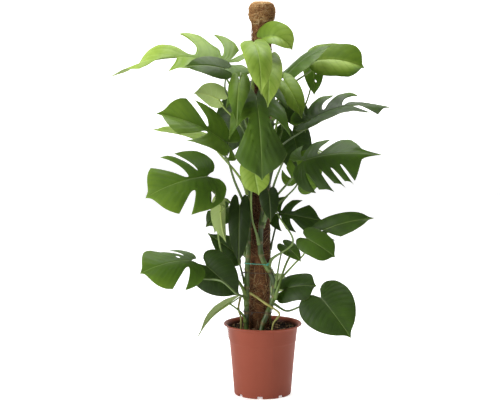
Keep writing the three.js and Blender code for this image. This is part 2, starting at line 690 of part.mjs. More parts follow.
// A leaf blade in space: its midrib, its frame, and where a point of the flat half blade comes to lie
// and faces. lobe, spread and bulge say which lobe it is on and how freely that lobe waves there.
class Blade {
  constructor(leaf) {
    this.leaf = leaf;
    const base = vec(leaf.base);
    const tip = vec(leaf.tip);
    const chord = tip.clone().sub(base);
    this.forward = chord.clone().normalize();
    const face = vec(leaf.face);
    this.up = face.addScaledVector(this.forward, -face.dot(this.forward)).normalize();
    this.across = this.forward.clone().cross(this.up);
    const knee = base.clone().add(tip).multiplyScalar(0.5);
    knee.addScaledVector(this.up, 2 * leaf.arch * chord.length());
    this.midrib = new THREE.QuadraticBezierCurve3(base, knee, tip);
    this.length = this.midrib.getLength();
  }

  point(vein, along, side, lobe = 0, spread = 0, bulge = 0) {
    const { leaf, length } = this;
    const [fold, bend, end = fold] = side < 0 ? leaf.left : leaf.right;
    const flat = flatPoint(vein, along, leaf.full ?? 0.1, leaf.drip ?? 0.03);
    const out = flat.x * leaf.width;
    const far = flat.y * length;
    const t = this.midrib.getUtoTmapping(THREE.MathUtils.clamp(far / length, 0, 1));
    const tangent = this.midrib.getTangent(t);
    const normal = this.across.clone().cross(tangent).normalize();
    const place = this.midrib.getPoint(t);
    if (far < 0) place.addScaledVector(tangent, far);
    if (far > length) place.addScaledVector(tangent, far - length);
    const toTip = smooth((far / length - FOLD_HOLD) / (1 - FOLD_HOLD));
    const start = radians(THREE.MathUtils.lerp(fold, end, toTip));
    const turn = radians(bend) / leaf.width;
    const level = (Math.sin(start + turn * out) - Math.sin(start)) / turn;
    const rise = (Math.cos(start) - Math.cos(start + turn * out)) / turn;
    const phase = leaf.wave + (side < 0 ? 1.7 : 0);
    const lift = Math.sin(2.4 * lobe + phase) * spread - bulge;
    const ripple = 0.6 * Math.sin(11 * vein + phase) * along ** 2;
    const wave = 0.03 * length * (lift + ripple) * smooth(flat.x / WAVE_START);
    place.addScaledVector(this.across, side * level).addScaledVector(normal, rise + wave);
    const slope = start + turn * out;
    const facing = normal.multiplyScalar(Math.cos(slope));
    facing.addScaledVector(this.across, -side * Math.sin(slope));
    return { place, facing };
  }
}

// Rows along the side veins, with one at each end of a cut or hole
function rowPositions(width, cuts, holes) {
  const fixed = [0, 1, ...cuts.map((c) => c.start), ...holes.flatMap((h) => [h.start, h.end])];
  const rows = new Set(fixed);
  const count = width < SMALL_BLADE ? SMALL_BLADE_ROWS : BLADE_ROWS;
  for (let i = 1; i < count; i++) {
    const row = i / count;
    if (fixed.every((f) => Math.abs(row - f) > 0.45 / count)) rows.add(row);
  }
  return [...rows].sort((a, b) => a - b);
}

function cutOpening(c, along, side) {
  if (!c || along <= c.start) return 0;
  const t = (along - c.start) / (1 - c.start);
  return side * (side < 0 ? c.back : c.forward) * t ** CUT_ROUNDING;
}

function holeOpening(h, along) {
  if (!h || along <= h.start || along >= h.end) return 0;
  return h.open * Math.sin((Math.PI * (along - h.start)) / (h.end - h.start)) ** 0.7;
}

// One half of the blade, lobe by lobe, as a grid of points on the side veins
function layHalf(width, cuts, holes, side, addPoint, faces) {
  const rows = rowPositions(width, cuts, holes).slice(1);
  const borders = [null, ...cuts, null];
  const inner = [];
  for (let lobe = 0; lobe < borders.length - 1; lobe++) {
    const [before, after] = [borders[lobe], borders[lobe + 1]];
    const low = before ? before.vein : FIRST_VEIN;
    const high = after ? after.vein : 1;
    const clear = Math.max(before ? before.start : 0, after ? after.start : 0);
    const within = holes.filter((h) => h.vein > low && h.vein < high);
    const stops = [0, ...within.map((h) => (h.vein - low) / (high - low)), 1];
    for (let k = 0; k < stops.length - 1; k++) {
      const share = stops[k + 1] - stops[k];
      const columns = Math.max(1, Math.round(share * (high - low) * BLADE_COLUMNS));
      const grid = rows.map((along) => {
        const from = low + cutOpening(before, along, 1);
        const to = high + cutOpening(after, along, -1);
        const spread = before || after ? smooth((along - clear) / (1 - clear)) : 0;
        return Array.from({ length: columns + 1 }, (_, j) => {
          const t = stops[k] + (share * j) / columns;
          let vein = from + (to - from) * t;
          if (j === 0) vein += holeOpening(within[k - 1], along);
          if (j === columns) vein -= holeOpening(within[k], along);
          const slant = (after ? 0.05 * t ** 3 : 0) - (before && after ? 0.13 * (1 - t) ** 1.5 : 0);
          const loose = t < 0.5 ? before : after;
          const bulge = loose ? (2 * t - 1) ** 2 * spread : 0;
          return { vein, index: addPoint(vein, along * (1 + slant * spread), side, lobe, spread, bulge) };
        });
      });
      for (let i = 0; i < grid.length - 1; i++) {
        for (let j = 0; j < columns; j++) {
          const corners = [grid[i][j], grid[i + 1][j], grid[i + 1][j + 1], grid[i][j + 1]];
          const [a, b, c, d] = corners.map((corner) => corner.index);
          faces.push([a, b, c], [a, c, d]);
        }
      }
      inner.push(...grid[0].slice(inner.length ? 1 : 0));
    }
  }
  return inner;
}

// The strip of triangles between the midrib and the first row of a half
function joinToMidrib(midrib, row, faces) {
  let i = 0;
  let j = 0;
  while (i < midrib.length - 1 || j < row.length - 1) {
    const nextRib = midrib[i + 1]?.vein ?? Infinity;
    const nextRow = row[j + 1]?.vein ?? Infinity;
    if (nextRow <= nextRib) {
      faces.push([midrib[i].index, row[j].index, row[j + 1].index]);
      j++;
    } else {
      faces.push([midrib[i].index, row[j].index, midrib[i + 1].index]);
      i++;
    }
  }
}

function bladeSheet(blade) {
  const { leaf } = blade;
  const points = [];
  const facings = [];
  const known = new Map();
  const addPoint = (...where) => {
    const { place, facing } = blade.point(...where);
    const key = place.toArray().map((n) => Math.round(n * 50)).join();
    if (!known.has(key)) {
      known.set(key, points.length);
      points.push(place);
      facings.push(new THREE.Vector3());
    }
    const index = known.get(key);
    facings[index].add(facing);
    return index;
  };
  const ribSteps = Math.round(BLADE_COLUMNS * 0.6);
  const midrib = Array.from({ length: ribSteps + 1 }, (_, i) => {
    const vein = RIB_FAN + (1 - RIB_FAN) * (i / ribSteps) ** 0.8;
    return { vein, index: addPoint(vein, 0, 1) };
  });
  const faces = [];
  for (const side of [-1, 1]) {
    const halfFaces = [];
    const cuts = (side < 0 ? leaf.leftCuts : leaf.rightCuts) ?? [];
    const holes = (side < 0 ? leaf.leftHoles : leaf.rightHoles) ?? [];
    const row = layHalf(leaf.width, cuts, holes, side, addPoint, halfFaces);
    joinToMidrib(midrib, row, halfFaces);
    faces.push(...halfFaces.map((f) => (side < 0 ? [f[0], f[2], f[1]] : f)));
  }
  return { points, facings, faces: faces.filter(([a, b, c]) => a !== b && b !== c && c !== a) };
}

// A sheet made into a closed body of even thickness, from its points and the way that each faces
function thicken({ points, facings, faces }, thickness) {
  const count = points.length;
  const positions = [];
  for (const offset of [thickness / 2, -thickness / 2]) {
    points.forEach((p, i) => {
      positions.push(...p.clone().addScaledVector(facings[i].clone().normalize(), offset));
    });
  }
  const index = [];
  const edges = new Map();
  for (const [a, b, c] of faces) {
    index.push(a, b, c, a + count, c + count, b + count);
    for (const [from, to] of [[a, b], [b, c], [c, a]]) {
      if (!edges.delete(to + "," + from)) edges.set(from + "," + to, [from, to]);
    }
  }
  for (const [from, to] of edges.values()) {
    index.push(from, from + count, to + count, from, to + count, to);
  }
  const geometry = new THREE.BufferGeometry();
  geometry.setAttribute("position", new THREE.Float32BufferAttribute(positions, 3));
  geometry.setIndex(index);
  return geometry;
}

// The stalk of a leaf: out of its stem, up beside it, over, and to the junction from under the blade
function stalkCurve(blade) {
  const { leaf } = blade;
  const side = radians(leaf.side);
  const out = new THREE.Vector3(Math.cos(side), Math.sin(side), 0);
  const start = stemAt(leaf.stem, leaf.node).addScaledVector(out, STEM_RADIUS - STALK_RADIUS);
  const end = blade.midrib.getPoint(0.04);
  const span = start.distanceTo(end);
  const leave = start.clone().addScaledVector(out, 0.12 * span);
  leave.z += 0.4 * span;
  const landing = blade.up.clone().multiplyScalar(0.55).addScaledVector(blade.forward, 0.45);
  landing.z += 0.6;
  landing.normalize();
  const arrive = end.clone().addScaledVector(landing, -(leaf.land ?? 0.28) * span);
  if (leaf.by) {
    const way = [start, start.clone().lerp(leave, 0.25), ...leaf.by.map(vec), arrive, end];
    return new THREE.CatmullRomCurve3(way, false, "centripetal");
  }
  return new THREE.CubicBezierCurve3(start, leave, arrive, end);
}

function makeLeaf(leaf) {
  const blade = new Blade(leaf);
  const sheet = toSolid(thicken(bladeSheet(blade), BLADE_THICKNESS));
  const stalk = toSolid(bar(stalkCurve(blade), STALK_RADIUS, STALK_SIDES, STALK_STEPS));
  return toGeometry(sheet.add(stalk.subtract(stemSeats[leaf.stem])));
}

// Assembly

const plant = new THREE.Group();
plant.add(piece("pot", makePot(), material(0xa05844, 0.45)));
plant.add(piece("soil", makeSoil(), material(0x2b211a, 0.95)));
plant.add(piece("pole_stake", makeStake(), material(0xa98d63, 0.8)));
plant.add(piece("pole_coir", makeCoir(), material(0x8a6238, 0.95)));
for (const name of Object.keys(STEM_ROUTES)) {
  plant.add(piece("stem_" + name, makeStem(name), material(0x6f7d3f, 0.6)));
}
for (const [name, route] of Object.entries(ROOT_ROUTES)) {
  const root = bar(curveThrough(route), ROOT_RADIUS, ROOT_SIDES, ROOT_STEPS);
  plant.add(piece("root_" + name, root, material(0x9aa04f, 0.6)));
}
for (const tie of TIES) {
  plant.add(piece(tie.name, makeTie(tie), material(tie.color, 0.6)));
}
LEAVES.forEach((leaf, i) => {
  const name = "leaf_" + String(i + 1).padStart(2, "0");
  plant.add(piece(name, makeLeaf({ wave: 1.3 * i, ...leaf }), material(leaf.color, 0.45)));
});

export default plant;
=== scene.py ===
"""Potted swiss cheese plant: the leaves, stalks, stems, coir pole, ties, soil and pot in full detail.

The shape code works in millimetres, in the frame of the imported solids: +Z up, the front of the plant
towards -Y, and the origin in the middle of the pot's underside. MM turns a length into metres.
"""

import math
from dataclasses import dataclass
from itertools import combinations

import bpy
import numpy as np
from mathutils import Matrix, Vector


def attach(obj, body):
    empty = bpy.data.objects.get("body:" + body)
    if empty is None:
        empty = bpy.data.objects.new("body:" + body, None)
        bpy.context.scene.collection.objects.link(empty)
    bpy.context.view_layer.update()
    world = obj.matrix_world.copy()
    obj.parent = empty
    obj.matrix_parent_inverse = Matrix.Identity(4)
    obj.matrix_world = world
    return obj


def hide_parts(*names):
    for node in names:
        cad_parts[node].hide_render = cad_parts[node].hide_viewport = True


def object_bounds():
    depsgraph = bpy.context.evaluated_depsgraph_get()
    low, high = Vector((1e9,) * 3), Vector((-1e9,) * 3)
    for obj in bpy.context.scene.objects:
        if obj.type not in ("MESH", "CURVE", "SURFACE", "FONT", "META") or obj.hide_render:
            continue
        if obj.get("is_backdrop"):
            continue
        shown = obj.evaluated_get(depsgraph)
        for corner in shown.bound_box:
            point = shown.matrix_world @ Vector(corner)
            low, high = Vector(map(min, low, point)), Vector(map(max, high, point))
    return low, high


bl_info = {
    "name": "Potted swiss cheese plant",
    "version": (1, 0, 0),
    "blender": (4, 5, 0),
    "location": "View3D > Sidebar > Plant",
    "description": "Builds a climbing swiss cheese plant on a coir pole in a nursery pot",
    "category": "Add Mesh",
}

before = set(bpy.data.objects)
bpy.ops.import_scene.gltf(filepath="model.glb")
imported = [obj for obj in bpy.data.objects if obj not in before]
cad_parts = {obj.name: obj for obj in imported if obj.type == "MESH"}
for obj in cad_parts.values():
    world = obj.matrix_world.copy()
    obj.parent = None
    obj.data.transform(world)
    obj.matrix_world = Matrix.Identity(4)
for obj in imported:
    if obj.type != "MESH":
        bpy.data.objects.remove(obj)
CAD_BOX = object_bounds()
MM = 0.001
DETAIL = 1.0
UP = np.array([0.0, 0.0, 1.0])

# Pot. Lengths are in millimetres and angles in degrees
POT_HEIGHT = 220
POT_LIP_RADIUS = 120
POT_BAND_RADIUS = 107
POT_SHOULDER_RADIUS = 101.5
POT_FOOT_RADIUS = 87
POT_BAND_HEIGHT = 55
POT_SHOULDER = POT_HEIGHT - POT_BAND_HEIGHT
POT_WALL = 2.2
POT_FLOOR_HEIGHT = 11
POT_PAD_RADIUS = 24
POT_COLUMNS = 180
TAB_WIDTH = 12
TAB_STANDOFF = 3
FOOT_COUNT = 8
FOOT_NOTCH_START = -6
FOOT_NOTCH_WIDTH = 16
FOOT_NOTCH_HEIGHT = 8
MOULD_LINE_ANGLES = (-105, -72)
MOULD_LINE_HEIGHT = 0.35
SOIL_LEVEL = 203
SOIL_ROWS = 70
SOIL_COLUMNS = 220

# Pole, stems, roots and ties
POLE_FOOT = (-13, 0, 60)
POLE_TOP = (-3, 0, 1196)
COIR_RADIUS = 30
COIR_FOOT_RADIUS = 33
KNOB_RADIUS = 39
KNOB_HEIGHT = 62
KNOB_EDGE_RADII = (KNOB_RADIUS - 5, KNOB_RADIUS - 17)
STEM_RADIUS = 8.5
ROOT_RADIUS = 3.6
TIE_RADIUS = 1.1
STAKE_RADIUS = 12
STAKE_FOOT_LENGTH = 35
STAKE_TOP_SETBACK = 30.3
COIR_ROWS = 300
COIR_COLUMNS = 64
STRAND_STEPS = 7
STRAND_SIDES = 3
STEM_SIDES = 22
STEM_STEPS = 300
JOINT_SWELLING = 1.5
SCAR_DEPTH = 0.8

# Each tie's height, its slack, the place in plan that its knot points at, and the rise of its ends
TIES = {
    "tie_low": (262, 2, (-60, -200), -0.3),
    "tie_middle": (382, 1, (-140, -120), -0.5),
    "tie_green": (410, 2, (60, -200), 0.4),
}

STEM_ROUTES = {
    "left": (
        (-50, -42, 150), (-50, -38, 230), (-49, -38, 306), (-48, -38, 372), (-44, -36, 480),
        (-40, -37, 600), (-38, -37, 760), (-36, -36, 900), (-34, -35, 962),
    ),
    "right": (
        (-12, -70, 150), (-3, -62, 215), (14, -54, 260), (33, -42, 306), (33, -43, 350), (20, -49, 388),
        (1, -53, 420), (-8, -52, 460), (-4, -50, 540), (12, -46, 640), (24, -40, 760), (28, -36, 900),
    ),
    "back": ((22, 48, 150), (18, 46, 260), (16, 45, 500), (6, 45, 800), (2, 44, 960)),
}
STEM_JOINTS = {
    "left": (262, 300, 340, 392, 436, 478, 520, 560, 610, 660, 712, 760, 812, 866, 915),
    "right": (232, 262, 312, 345, 392, 440, 480, 528, 580, 640, 700, 752, 806, 858),
    "back": (240, 300, 360, 430, 500, 560, 640, 700, 770, 830, 890),
}
ROOT_ROUTES = {
    "crossing": (
        (-40, -52, 322), (-22, -60, 312), (8, -68, 292), (44, -66, 268), (50, -64, 255),
        (42, -68, 245), (30, -74, 225), (26, -76, 170),
    ),
    "side": ((-68, -38, 306), (-74, -36, 270), (-66, -38, 235), (-70, -40, 170)),
}

# Leaves
BLADE_THICKNESS = 0.8
STALK_RADIUS = 3
STALK_SIDES = 14
STALK_TAPER = 0.3
STALK_SHEATH = 0.75
STALK_KNUCKLE = 0.28
STALK_GROOVE = 0.3
BLADE_ROWS = 15
BLADE_COLUMNS = 58
SMALL_BLADE = 60
SMALL_BLADE_ROWS = 9
SMALL_BLADE_COLUMNS = 34
EDGE_ROWS = (0, 0.012, 0.03, 0.06, 0.985, 1)
CUT_ROWS = (0, 0.012, 0.04, 0.09, 0.16)
HOLE_ROWS = (0, 0.04, 0.15, 0.32, 0.5)
CUT_ROUNDING = 0.4
HOLE_ROUNDING = 0.7
LOBE_REACH = 0.05
LOBE_SLANT = 0.13
RIB_FAN = 0.38
RIB_CROWDING = 1.25
RIB_SAG = 0.1
FIRST_VEIN = 0.1
LAST_VEINS = 0.92
OUTLINE_TIP = 1.02
SQUARING_MOST = 0.7
SQUARING_FALL = 1.9
WAVE_START = 0.25
FOLD_HOLD = 0.4
SIDE_VEINS = 15
FULL_LIFT = 0.1
LOBE_WAVE = 0.03
VEIN_PLEAT = 0.014
MIDRIB_GROOVE = 0.9
MIDRIB_WIDTH = 3.5
RIM_FRILL = 0.004
UNEVENNESS = 0.006
# The outline of a half blade, from the midrib's lower end round to the tip, in half widths and lengths
OUTLINE = (
    (0, 0), (0.16, -0.15), (0.46, -0.22), (0.8, -0.13), (0.99, 0.07), (1, 0.28),
    (0.88, 0.48), (0.68, 0.66), (0.43, 0.81), (0.17, 0.92), (0, OUTLINE_TIP),
)

# Stage: the floor, the wall and the camera's sensor in millimetres, the lights in metres
FLOOR_HALF = 6000
FLOOR_BACK = 9000
WALL_HEIGHT = 6000
FLOOR_GLOW = 0.5
WALL_GLOW = 1.02
KEY_PLACE = (-3.4, -2.2, 2.2)
TOP_PLACE = (0.3, 0.6, 3.4)
SENSOR_WIDTH = 36


@dataclass
class Cut:
    """A gap between two lobes: its side vein, where it starts, and how far it opens each way."""

    vein: float
    start: float
    back: float
    forward: float


@dataclass
class Hole:
    """A hole beside the midrib: its side vein, its two ends along the vein, and its half width."""

    vein: float
    start: float
    end: float
    open: float


@dataclass
class Leaf:
    """The stem, the height and compass side where the stalk leaves it, the junction and the tip.

    face is the way that the upper face looks, width the half width, and arch that of the midrib. tones
    is the colour at the junction and at the tip, from 0 for nearly black to 1 for lime, with painted
    light and shade in it: leaves in the light get paler tones and leaves in shade darker ones. sides is
    the painted light and shade that the left and the right half add to it, and rims the painted light
    and shade that each adds at its rim. left and right hold a half's fold at the midrib, its further
    bend to the edge and, where it differs, its fold at the tip, in degrees. full broadens the outline
    and drip draws out the tip. by lists the places that the stalk passes, and land is the share of its
    span in which it turns into the junction.
    """

    stem: str
    node: float
    side: float
    base: tuple
    tip: tuple
    face: tuple
    width: float
    arch: float
    tones: tuple
    left: tuple = (15, -45)
    right: tuple = (15, -45)
    sides: tuple = (0, 0)
    rims: tuple = (0, 0)
    left_cuts: tuple = ()
    right_cuts: tuple = ()
    left_holes: tuple = ()
    right_holes: tuple = ()
    full: float = 0.1
    drip: float = 0.03
    by: tuple = ()
    land: float = 0.28


ONE_CUT = (Cut(0.45, 0.35, 0.02, 0.05),)
BAY_CUTS = (Cut(0.58, 0.42, 0.03, 0.08),)
SPLIT_CUTS = (Cut(0.42, 0.5, 0.01, 0.03), Cut(0.6, 0.35, 0.03, 0.1))
WIDE_CUT = (Cut(0.48, 0.3, 0.03, 0.1),)
TWO_CUTS = (Cut(0.42, 0.42, 0.02, 0.05), Cut(0.6, 0.42, 0.02, 0.05))
THREE_CUTS = tuple(Cut(vein, 0.4, 0.02, 0.05) for vein in (0.36, 0.5, 0.64))
TWO_DEEP_CUTS = (Cut(0.44, 0.15, 0.02, 0.05), Cut(0.6, 0.25, 0.02, 0.08))
TALL_CUTS = (Cut(0.25, 0.3, 0.012, 0.02), Cut(0.42, 0.2, 0.02, 0.03), Cut(0.6, 0.1, 0.05, 0.1))
HANGING_CUTS = (Cut(0.48, 0.15, 0.03, 0.05), Cut(0.7, 0.12, 0.02, 0.12))
FINGER_CUTS = (Cut(0.36, 0.4, 0.01, 0.02), Cut(0.62, 0.15, 0.03, 0.05))
SWEPT_CUTS = (Cut(0.49, 0.22, 0.012, 0.035), Cut(0.62, 0.08, 0.035, 0.1))
RAY_CUTS = (Cut(0.4, 0.3, 0.01, 0.03), Cut(0.55, 0.15, 0.02, 0.05), Cut(0.7, 0.1, 0.02, 0.06))
REACHING_CUTS = (Cut(0.74, 0.1, 0.03, 0.1),)
UPRIGHT_CUTS = (Cut(0.4, 0.2, 0.03, 0.04), Cut(0.58, 0.12, 0.03, 0.09))
RAGGED_CUTS = tuple(Cut(vein, 0.42, 0.015, 0.03) for vein in (0.4, 0.53, 0.64, 0.74))
BAY_HOLE = (Hole(0.42, 0.5, 0.85, 0.035),)
ONE_HOLE = (Hole(0.54, 0.18, 0.36, 0.02),)
TWO_HOLES = (Hole(0.6, 0.16, 0.4, 0.02), Hole(0.75, 0.16, 0.45, 0.02))

# The tones, sides and rims below hold painted light and shade as well as each leaf's own colour.
LEAVES = (
    Leaf("left", node=800, side=140, base=(-122, 45, 1012), tip=(-440, -45, 984), face=(0, 6, 100),
         width=140, arch=0.1, left=(0, -45, 10), right=(50, -15, -45), left_cuts=HANGING_CUTS,
         right_cuts=TALL_CUTS, full=-0.6, tones=(0.6, 1.0), sides=(-0.02, 0.04), rims=(0, 0.1)),
    Leaf("right", node=845, side=320, base=(-2, -60, 1090), tip=(84, -85, 1058), face=(0, -50, 85),
         width=49, arch=0.26, left=(42, -25), right=(22, -50), full=0.6, tones=(0.68, 0.95)),
    Leaf("left", node=930, side=290, base=(-27, -139, 1080), tip=(-7, -240, 940), face=(10, -80, 60),
         width=46, arch=0.24, left=(10, -50), right=(10, -50), full=0.3, tones=(0.74, 0.78),
         rims=(0.12, 0.12)),
    Leaf("right", node=880, side=225, base=(16, -106, 1030), tip=(13, -196, 900), face=(10, -90, 40),
         width=42, arch=0.12, left=(10, -40), right=(10, -40), tones=(0.8, 0.85), rims=(0.1, 0.1)),
    Leaf("left", node=860, side=230, base=(-70, -136, 968), tip=(-77, -214, 848), face=(-10, -95, 20),
         width=34, arch=0.1, left=(10, -50), right=(10, -50), by=((-62, -62, 940), (-66, -92, 988)),
         land=0.1, full=-0.5, tones=(0.62, 0.5)),
    Leaf("left", node=780, side=150, base=(-130, -15, 905), tip=(-205, -30, 925), face=(0, 60, 80),
         width=42, arch=0.1, left=(40, 60), right=(10, -40), tones=(1.05, 1.0)),
    Leaf("left", node=540, side=200, base=(-114, -90, 785), tip=(-305, -140, 870), face=(10, -75, 65),
         width=80, arch=0.1, left=(25, -15), right=(12, -15, 30),
         by=((-60, -50, 600), (-86, -62, 665), (-108, -74, 735)), left_cuts=FINGER_CUTS,
         right_cuts=FINGER_CUTS, full=1, tones=(0.55, 0.64), sides=(0.04, 0)),
    Leaf("right", node=740, side=270, base=(-21, -125, 925), tip=(-4, -210, 692), face=(5, -90, 45),
         width=90, arch=0.17, left=(12, -40), right=(12, -40), left_cuts=SPLIT_CUTS,
         right_cuts=SPLIT_CUTS, full=1.1, tones=(0.5, 0.45), sides=(-0.1, 0.04)),
    Leaf("back", node=860, side=0, base=(73, 22, 979), tip=(212, 72, 1065), face=(-42, -25, 88), width=54,
         arch=0.08, left=(5, -20), right=(5, -30), land=0.25, tones=(0.45, 0.5), rims=(0.1, 0.1)),
    Leaf("right", node=862, side=60, base=(170, 85, 1020), tip=(308, 105, 998), face=(0, -30, 95),
         width=58, arch=0.08, left=(45, -10, 70), right=(-15, -50), full=1.2, tones=(1.0, 0.8),
         sides=(-0.2, 0.05), rims=(0, -0.5)),
    Leaf("back", node=790, side=20, base=(155, 130, 1004), tip=(159, 112, 914), face=(10, -95, 15),
         width=31, arch=0.1, left=(10, -20), right=(10, -20), by=((110, 90, 850), (148, 125, 930)),
         left_holes=TWO_HOLES, land=0.1, tones=(0.5, 0.5)),
    Leaf("right", node=720, side=330, base=(139, -80, 848), tip=(368, -60, 886), face=(-10, -12, 98),
         width=84, arch=0.1, left=(34, -20, 8), right=(8, -30, -5), left_cuts=RAY_CUTS,
         right_cuts=REACHING_CUTS, full=0.5, tones=(0.14, 0.36), sides=(0, 0.04), rims=(0.4, -0.1)),
    Leaf("right", node=790, side=350, base=(62, -40, 962), tip=(114, -80, 858), face=(20, -80, 50),
         width=40, arch=0.12, tones=(0.78, 0.7)),
    Leaf("back", node=700, side=0, base=(84, 60, 890), tip=(130, 45, 805), face=(20, -80, 50), width=46,
         arch=0.1, by=((58, 60, 800),), tones=(0.2, 0.2)),
    Leaf("right", node=470, side=230, base=(-30, -100, 716), tip=(-14, -140, 634), face=(0, -95, 30),
         width=44, arch=0.05, by=((-32, -78, 550), (-35, -100, 640)), full=0.8, land=0.1,
         tones=(0.84, 0.9)),
    Leaf("right", node=400, side=0, base=(17, -80, 632), tip=(22, -108, 550), face=(10, -95, 20),
         width=30, arch=0.08, by=((90, -75, 480), (48, -90, 560)), land=0.1, tones=(0.12, 0.12)),
    Leaf("right", node=540, side=330, base=(119, -80, 727), tip=(300, -80, 749), face=(0, -50, 85),
         width=108, arch=0.06, left=(-5, -10), right=(-15, -60), left_cuts=UPRIGHT_CUTS,
         right_cuts=RAGGED_CUTS, full=1.2, drip=0.28, tones=(0.36, 0.42), sides=(0, -0.06), rims=(0.1, 0)),
    Leaf("right", node=520, side=30, base=(106, -15, 655), tip=(160, 10, 755), face=(20, -90, 40),
         width=60, arch=0.08, left_cuts=TWO_CUTS, tones=(0.62, 0.62)),
    Leaf("right", node=300, side=330, base=(182, -40, 512), tip=(329, -50, 550), face=(-20, -80, 60),
         width=36, arch=0.08, left=(20, -20), right=(-10, -30), by=((82, -22, 428), (132, -24, 478)),
         right_cuts=ONE_CUT, full=0.3, tones=(0.3, 0.34)),
    Leaf("back", node=440, side=340, base=(50, 26, 556), tip=(177, 0, 536), face=(0, -90, 20), width=52,
         arch=0.05, left=(10, -20), right=(10, -20), left_cuts=TWO_DEEP_CUTS, right_cuts=TWO_DEEP_CUTS,
         full=0.4, tones=(0.08, 0.12)),
    Leaf("right", node=335, side=300, base=(65, -24, 465), tip=(114, -50, 419), face=(20, -80, 50),
         width=27, arch=0.1, tones=(0.36, 0.36)),
    Leaf("right", node=300, side=40, base=(62, -20, 325), tip=(158, -60, 345), face=(0, -70, 60),
         width=50, arch=0.1, full=1.5, tones=(0.25, 0.25)),
    Leaf("right", node=272, side=0, base=(174, -80, 313), tip=(259, -130, 205), face=(10, -95, 25),
         width=85, arch=0.08, left=(10, -30), right=(10, -30), by=((72, -50, 266), (122, -62, 284)),
         tones=(0.28, 0.3)),
    Leaf("left", node=500, side=200, base=(-165, -110, 684), tip=(-338, -165, 630), face=(-10, -75, 60),
         width=104, arch=0.1, left=(5, -40), right=(10, -15), by=((-92, -42, 590),), left_cuts=BAY_CUTS,
         right_cuts=SWEPT_CUTS, full=1, left_holes=BAY_HOLE, tones=(0.4, 0.68), rims=(0.1, 0.1)),
    Leaf("left", node=300, side=225, base=(-128, -106, 602), tip=(-112, -126, 492), face=(-40, 70, 10),
         width=28, arch=0.1, left=(20, 20), right=(20, 20), by=((-124, -30, 440), (-134, -84, 560)),
         land=0.1, tones=(1.0, 1.0)),
    Leaf("left", node=460, side=240, base=(-70, -80, 590), tip=(-72, -125, 425), face=(-10, -95, 10),
         width=34, arch=0.06, tones=(0.1, 0.14)),
    Leaf("left", node=348, side=180, base=(-75, 12, 428), tip=(-164, -10, 496), face=(-20, -90, 30),
         width=42, arch=0.06, left=(10, -30), right=(10, -30), full=-0.3, tones=(0.1, 0.1)),
    Leaf("left", node=280, side=250, base=(-214, -105, 430), tip=(-358, -155, 402), face=(-10, -70, 70),
         width=85, arch=0.1, left=(5, -50), right=(-15, -20, 12),
         by=((-81, -134, 336), (-123, -124, 370)), left_cuts=WIDE_CUT, right_cuts=ONE_CUT,
         right_holes=ONE_HOLE, full=1.2, tones=(0.42, 0.54), rims=(0.12, 0.1)),
    Leaf("left", node=320, side=175, base=(-172, -64, 408), tip=(-74, -84, 322), face=(-10, -90, 30),
         width=66, arch=0.06, tones=(0.2, 0.12)),
    Leaf("left", node=230, side=240, base=(-97, -70, 297), tip=(-196, -110, 198), face=(-70, 40, 50),
         width=26, arch=0.08, left=(10, 10), right=(10, 10), tones=(0.42, 0.42)),
    Leaf("left", node=430, side=190, base=(-107, 5, 576), tip=(-171, -20, 521), face=(-20, -80, 40),
         width=44, arch=0.06, right_cuts=TWO_CUTS, tones=(0.26, 0.26)),
    Leaf("back", node=700, side=200, base=(-75, 80, 880), tip=(-110, 85, 730), face=(-30, -60, 30),
         width=72, arch=0.06, tones=(0.1, 0.15)),
    Leaf("back", node=640, side=340, base=(92, 108, 800), tip=(116, 114, 660), face=(30, -60, 30),
         width=68, arch=0.06, tones=(0.1, 0.15)),
    Leaf("left", node=620, side=180, base=(-150, -10, 782), tip=(-328, -20, 815), face=(0, -38, 92),
         width=34, arch=0.05, left=(5, -10), right=(5, -10), tones=(0.95, 0.95)),
    Leaf("back", node=820, side=110, base=(-20, 150, 940), tip=(-60, 290, 850), face=(-30, 60, 70),
         width=85, arch=0.12, left_cuts=THREE_CUTS, right_cuts=THREE_CUTS, full=0.5, tones=(0.5, 0.55)),
    Leaf("back", node=560, side=60, base=(80, 190, 740), tip=(180, 300, 670), face=(40, 60, 70), width=90,
         arch=0.12, left_cuts=THREE_CUTS, right_cuts=THREE_CUTS, full=0.5, tones=(0.5, 0.5)),
    Leaf("back", node=420, side=120, base=(-60, 150, 560), tip=(-150, 240, 470), face=(-40, 60, 60),
         width=80, arch=0.12, left_cuts=ONE_CUT, right_cuts=TWO_CUTS, tones=(0.45, 0.45)),
    Leaf("back", node=320, side=60, base=(40, 130, 350), tip=(28, 215, 268), face=(40, 70, 40), width=50,
         arch=0.1, tones=(0.35, 0.3)),
    Leaf("left", node=755, side=235, base=(-115, -142, 1003), tip=(-226, -170, 1010), face=(0, -70, 75),
         width=40, arch=0.08, left=(0, -20), right=(8, -10), by=((-78, -34, 860), (-112, -80, 938)),
         land=0.1, tones=(0.34, 0.42)),
    Leaf("right", node=330, side=20, base=(130, -70, 492), tip=(213, -90, 440), face=(10, -85, 40),
         width=44, arch=0.08, left=(10, -25), right=(10, -25), by=((95, -25, 405), (126, -52, 445)),
         full=1, land=0.1, tones=(0.42, 0.42)),
)


# Curves


def fine(count):
    """A count of rows, columns or strands at this run's level of detail."""
    return round(count * DETAIL)


def smooth(t):
    """A soft step: 0 below 0, 1 above 1, and level at both ends."""
    t = np.clip(t, 0, 1)
    return t * t * (3 - 2 * t)


def unit(vectors):
    """The vectors, each scaled to a length of one."""
    vectors = np.asarray(vectors, float)
    return vectors / np.maximum(np.linalg.norm(vectors, axis=-1, keepdims=True), 1e-12)


def turns(count):
    """count angles at even steps round a circle, in radians."""
    return 2 * np.pi * np.arange(count) / count


def circling(angle, first, second):
    """The direction at each angle, turned from the first direction towards the second."""
    return np.cos(angle)[..., None] * first + np.sin(angle)[..., None] * second


def turn_between(angle, other):
    """The smaller turn between two angles, in radians, from 0 to half a turn."""
    return np.abs(np.angle(np.exp(1j * (angle - other))))


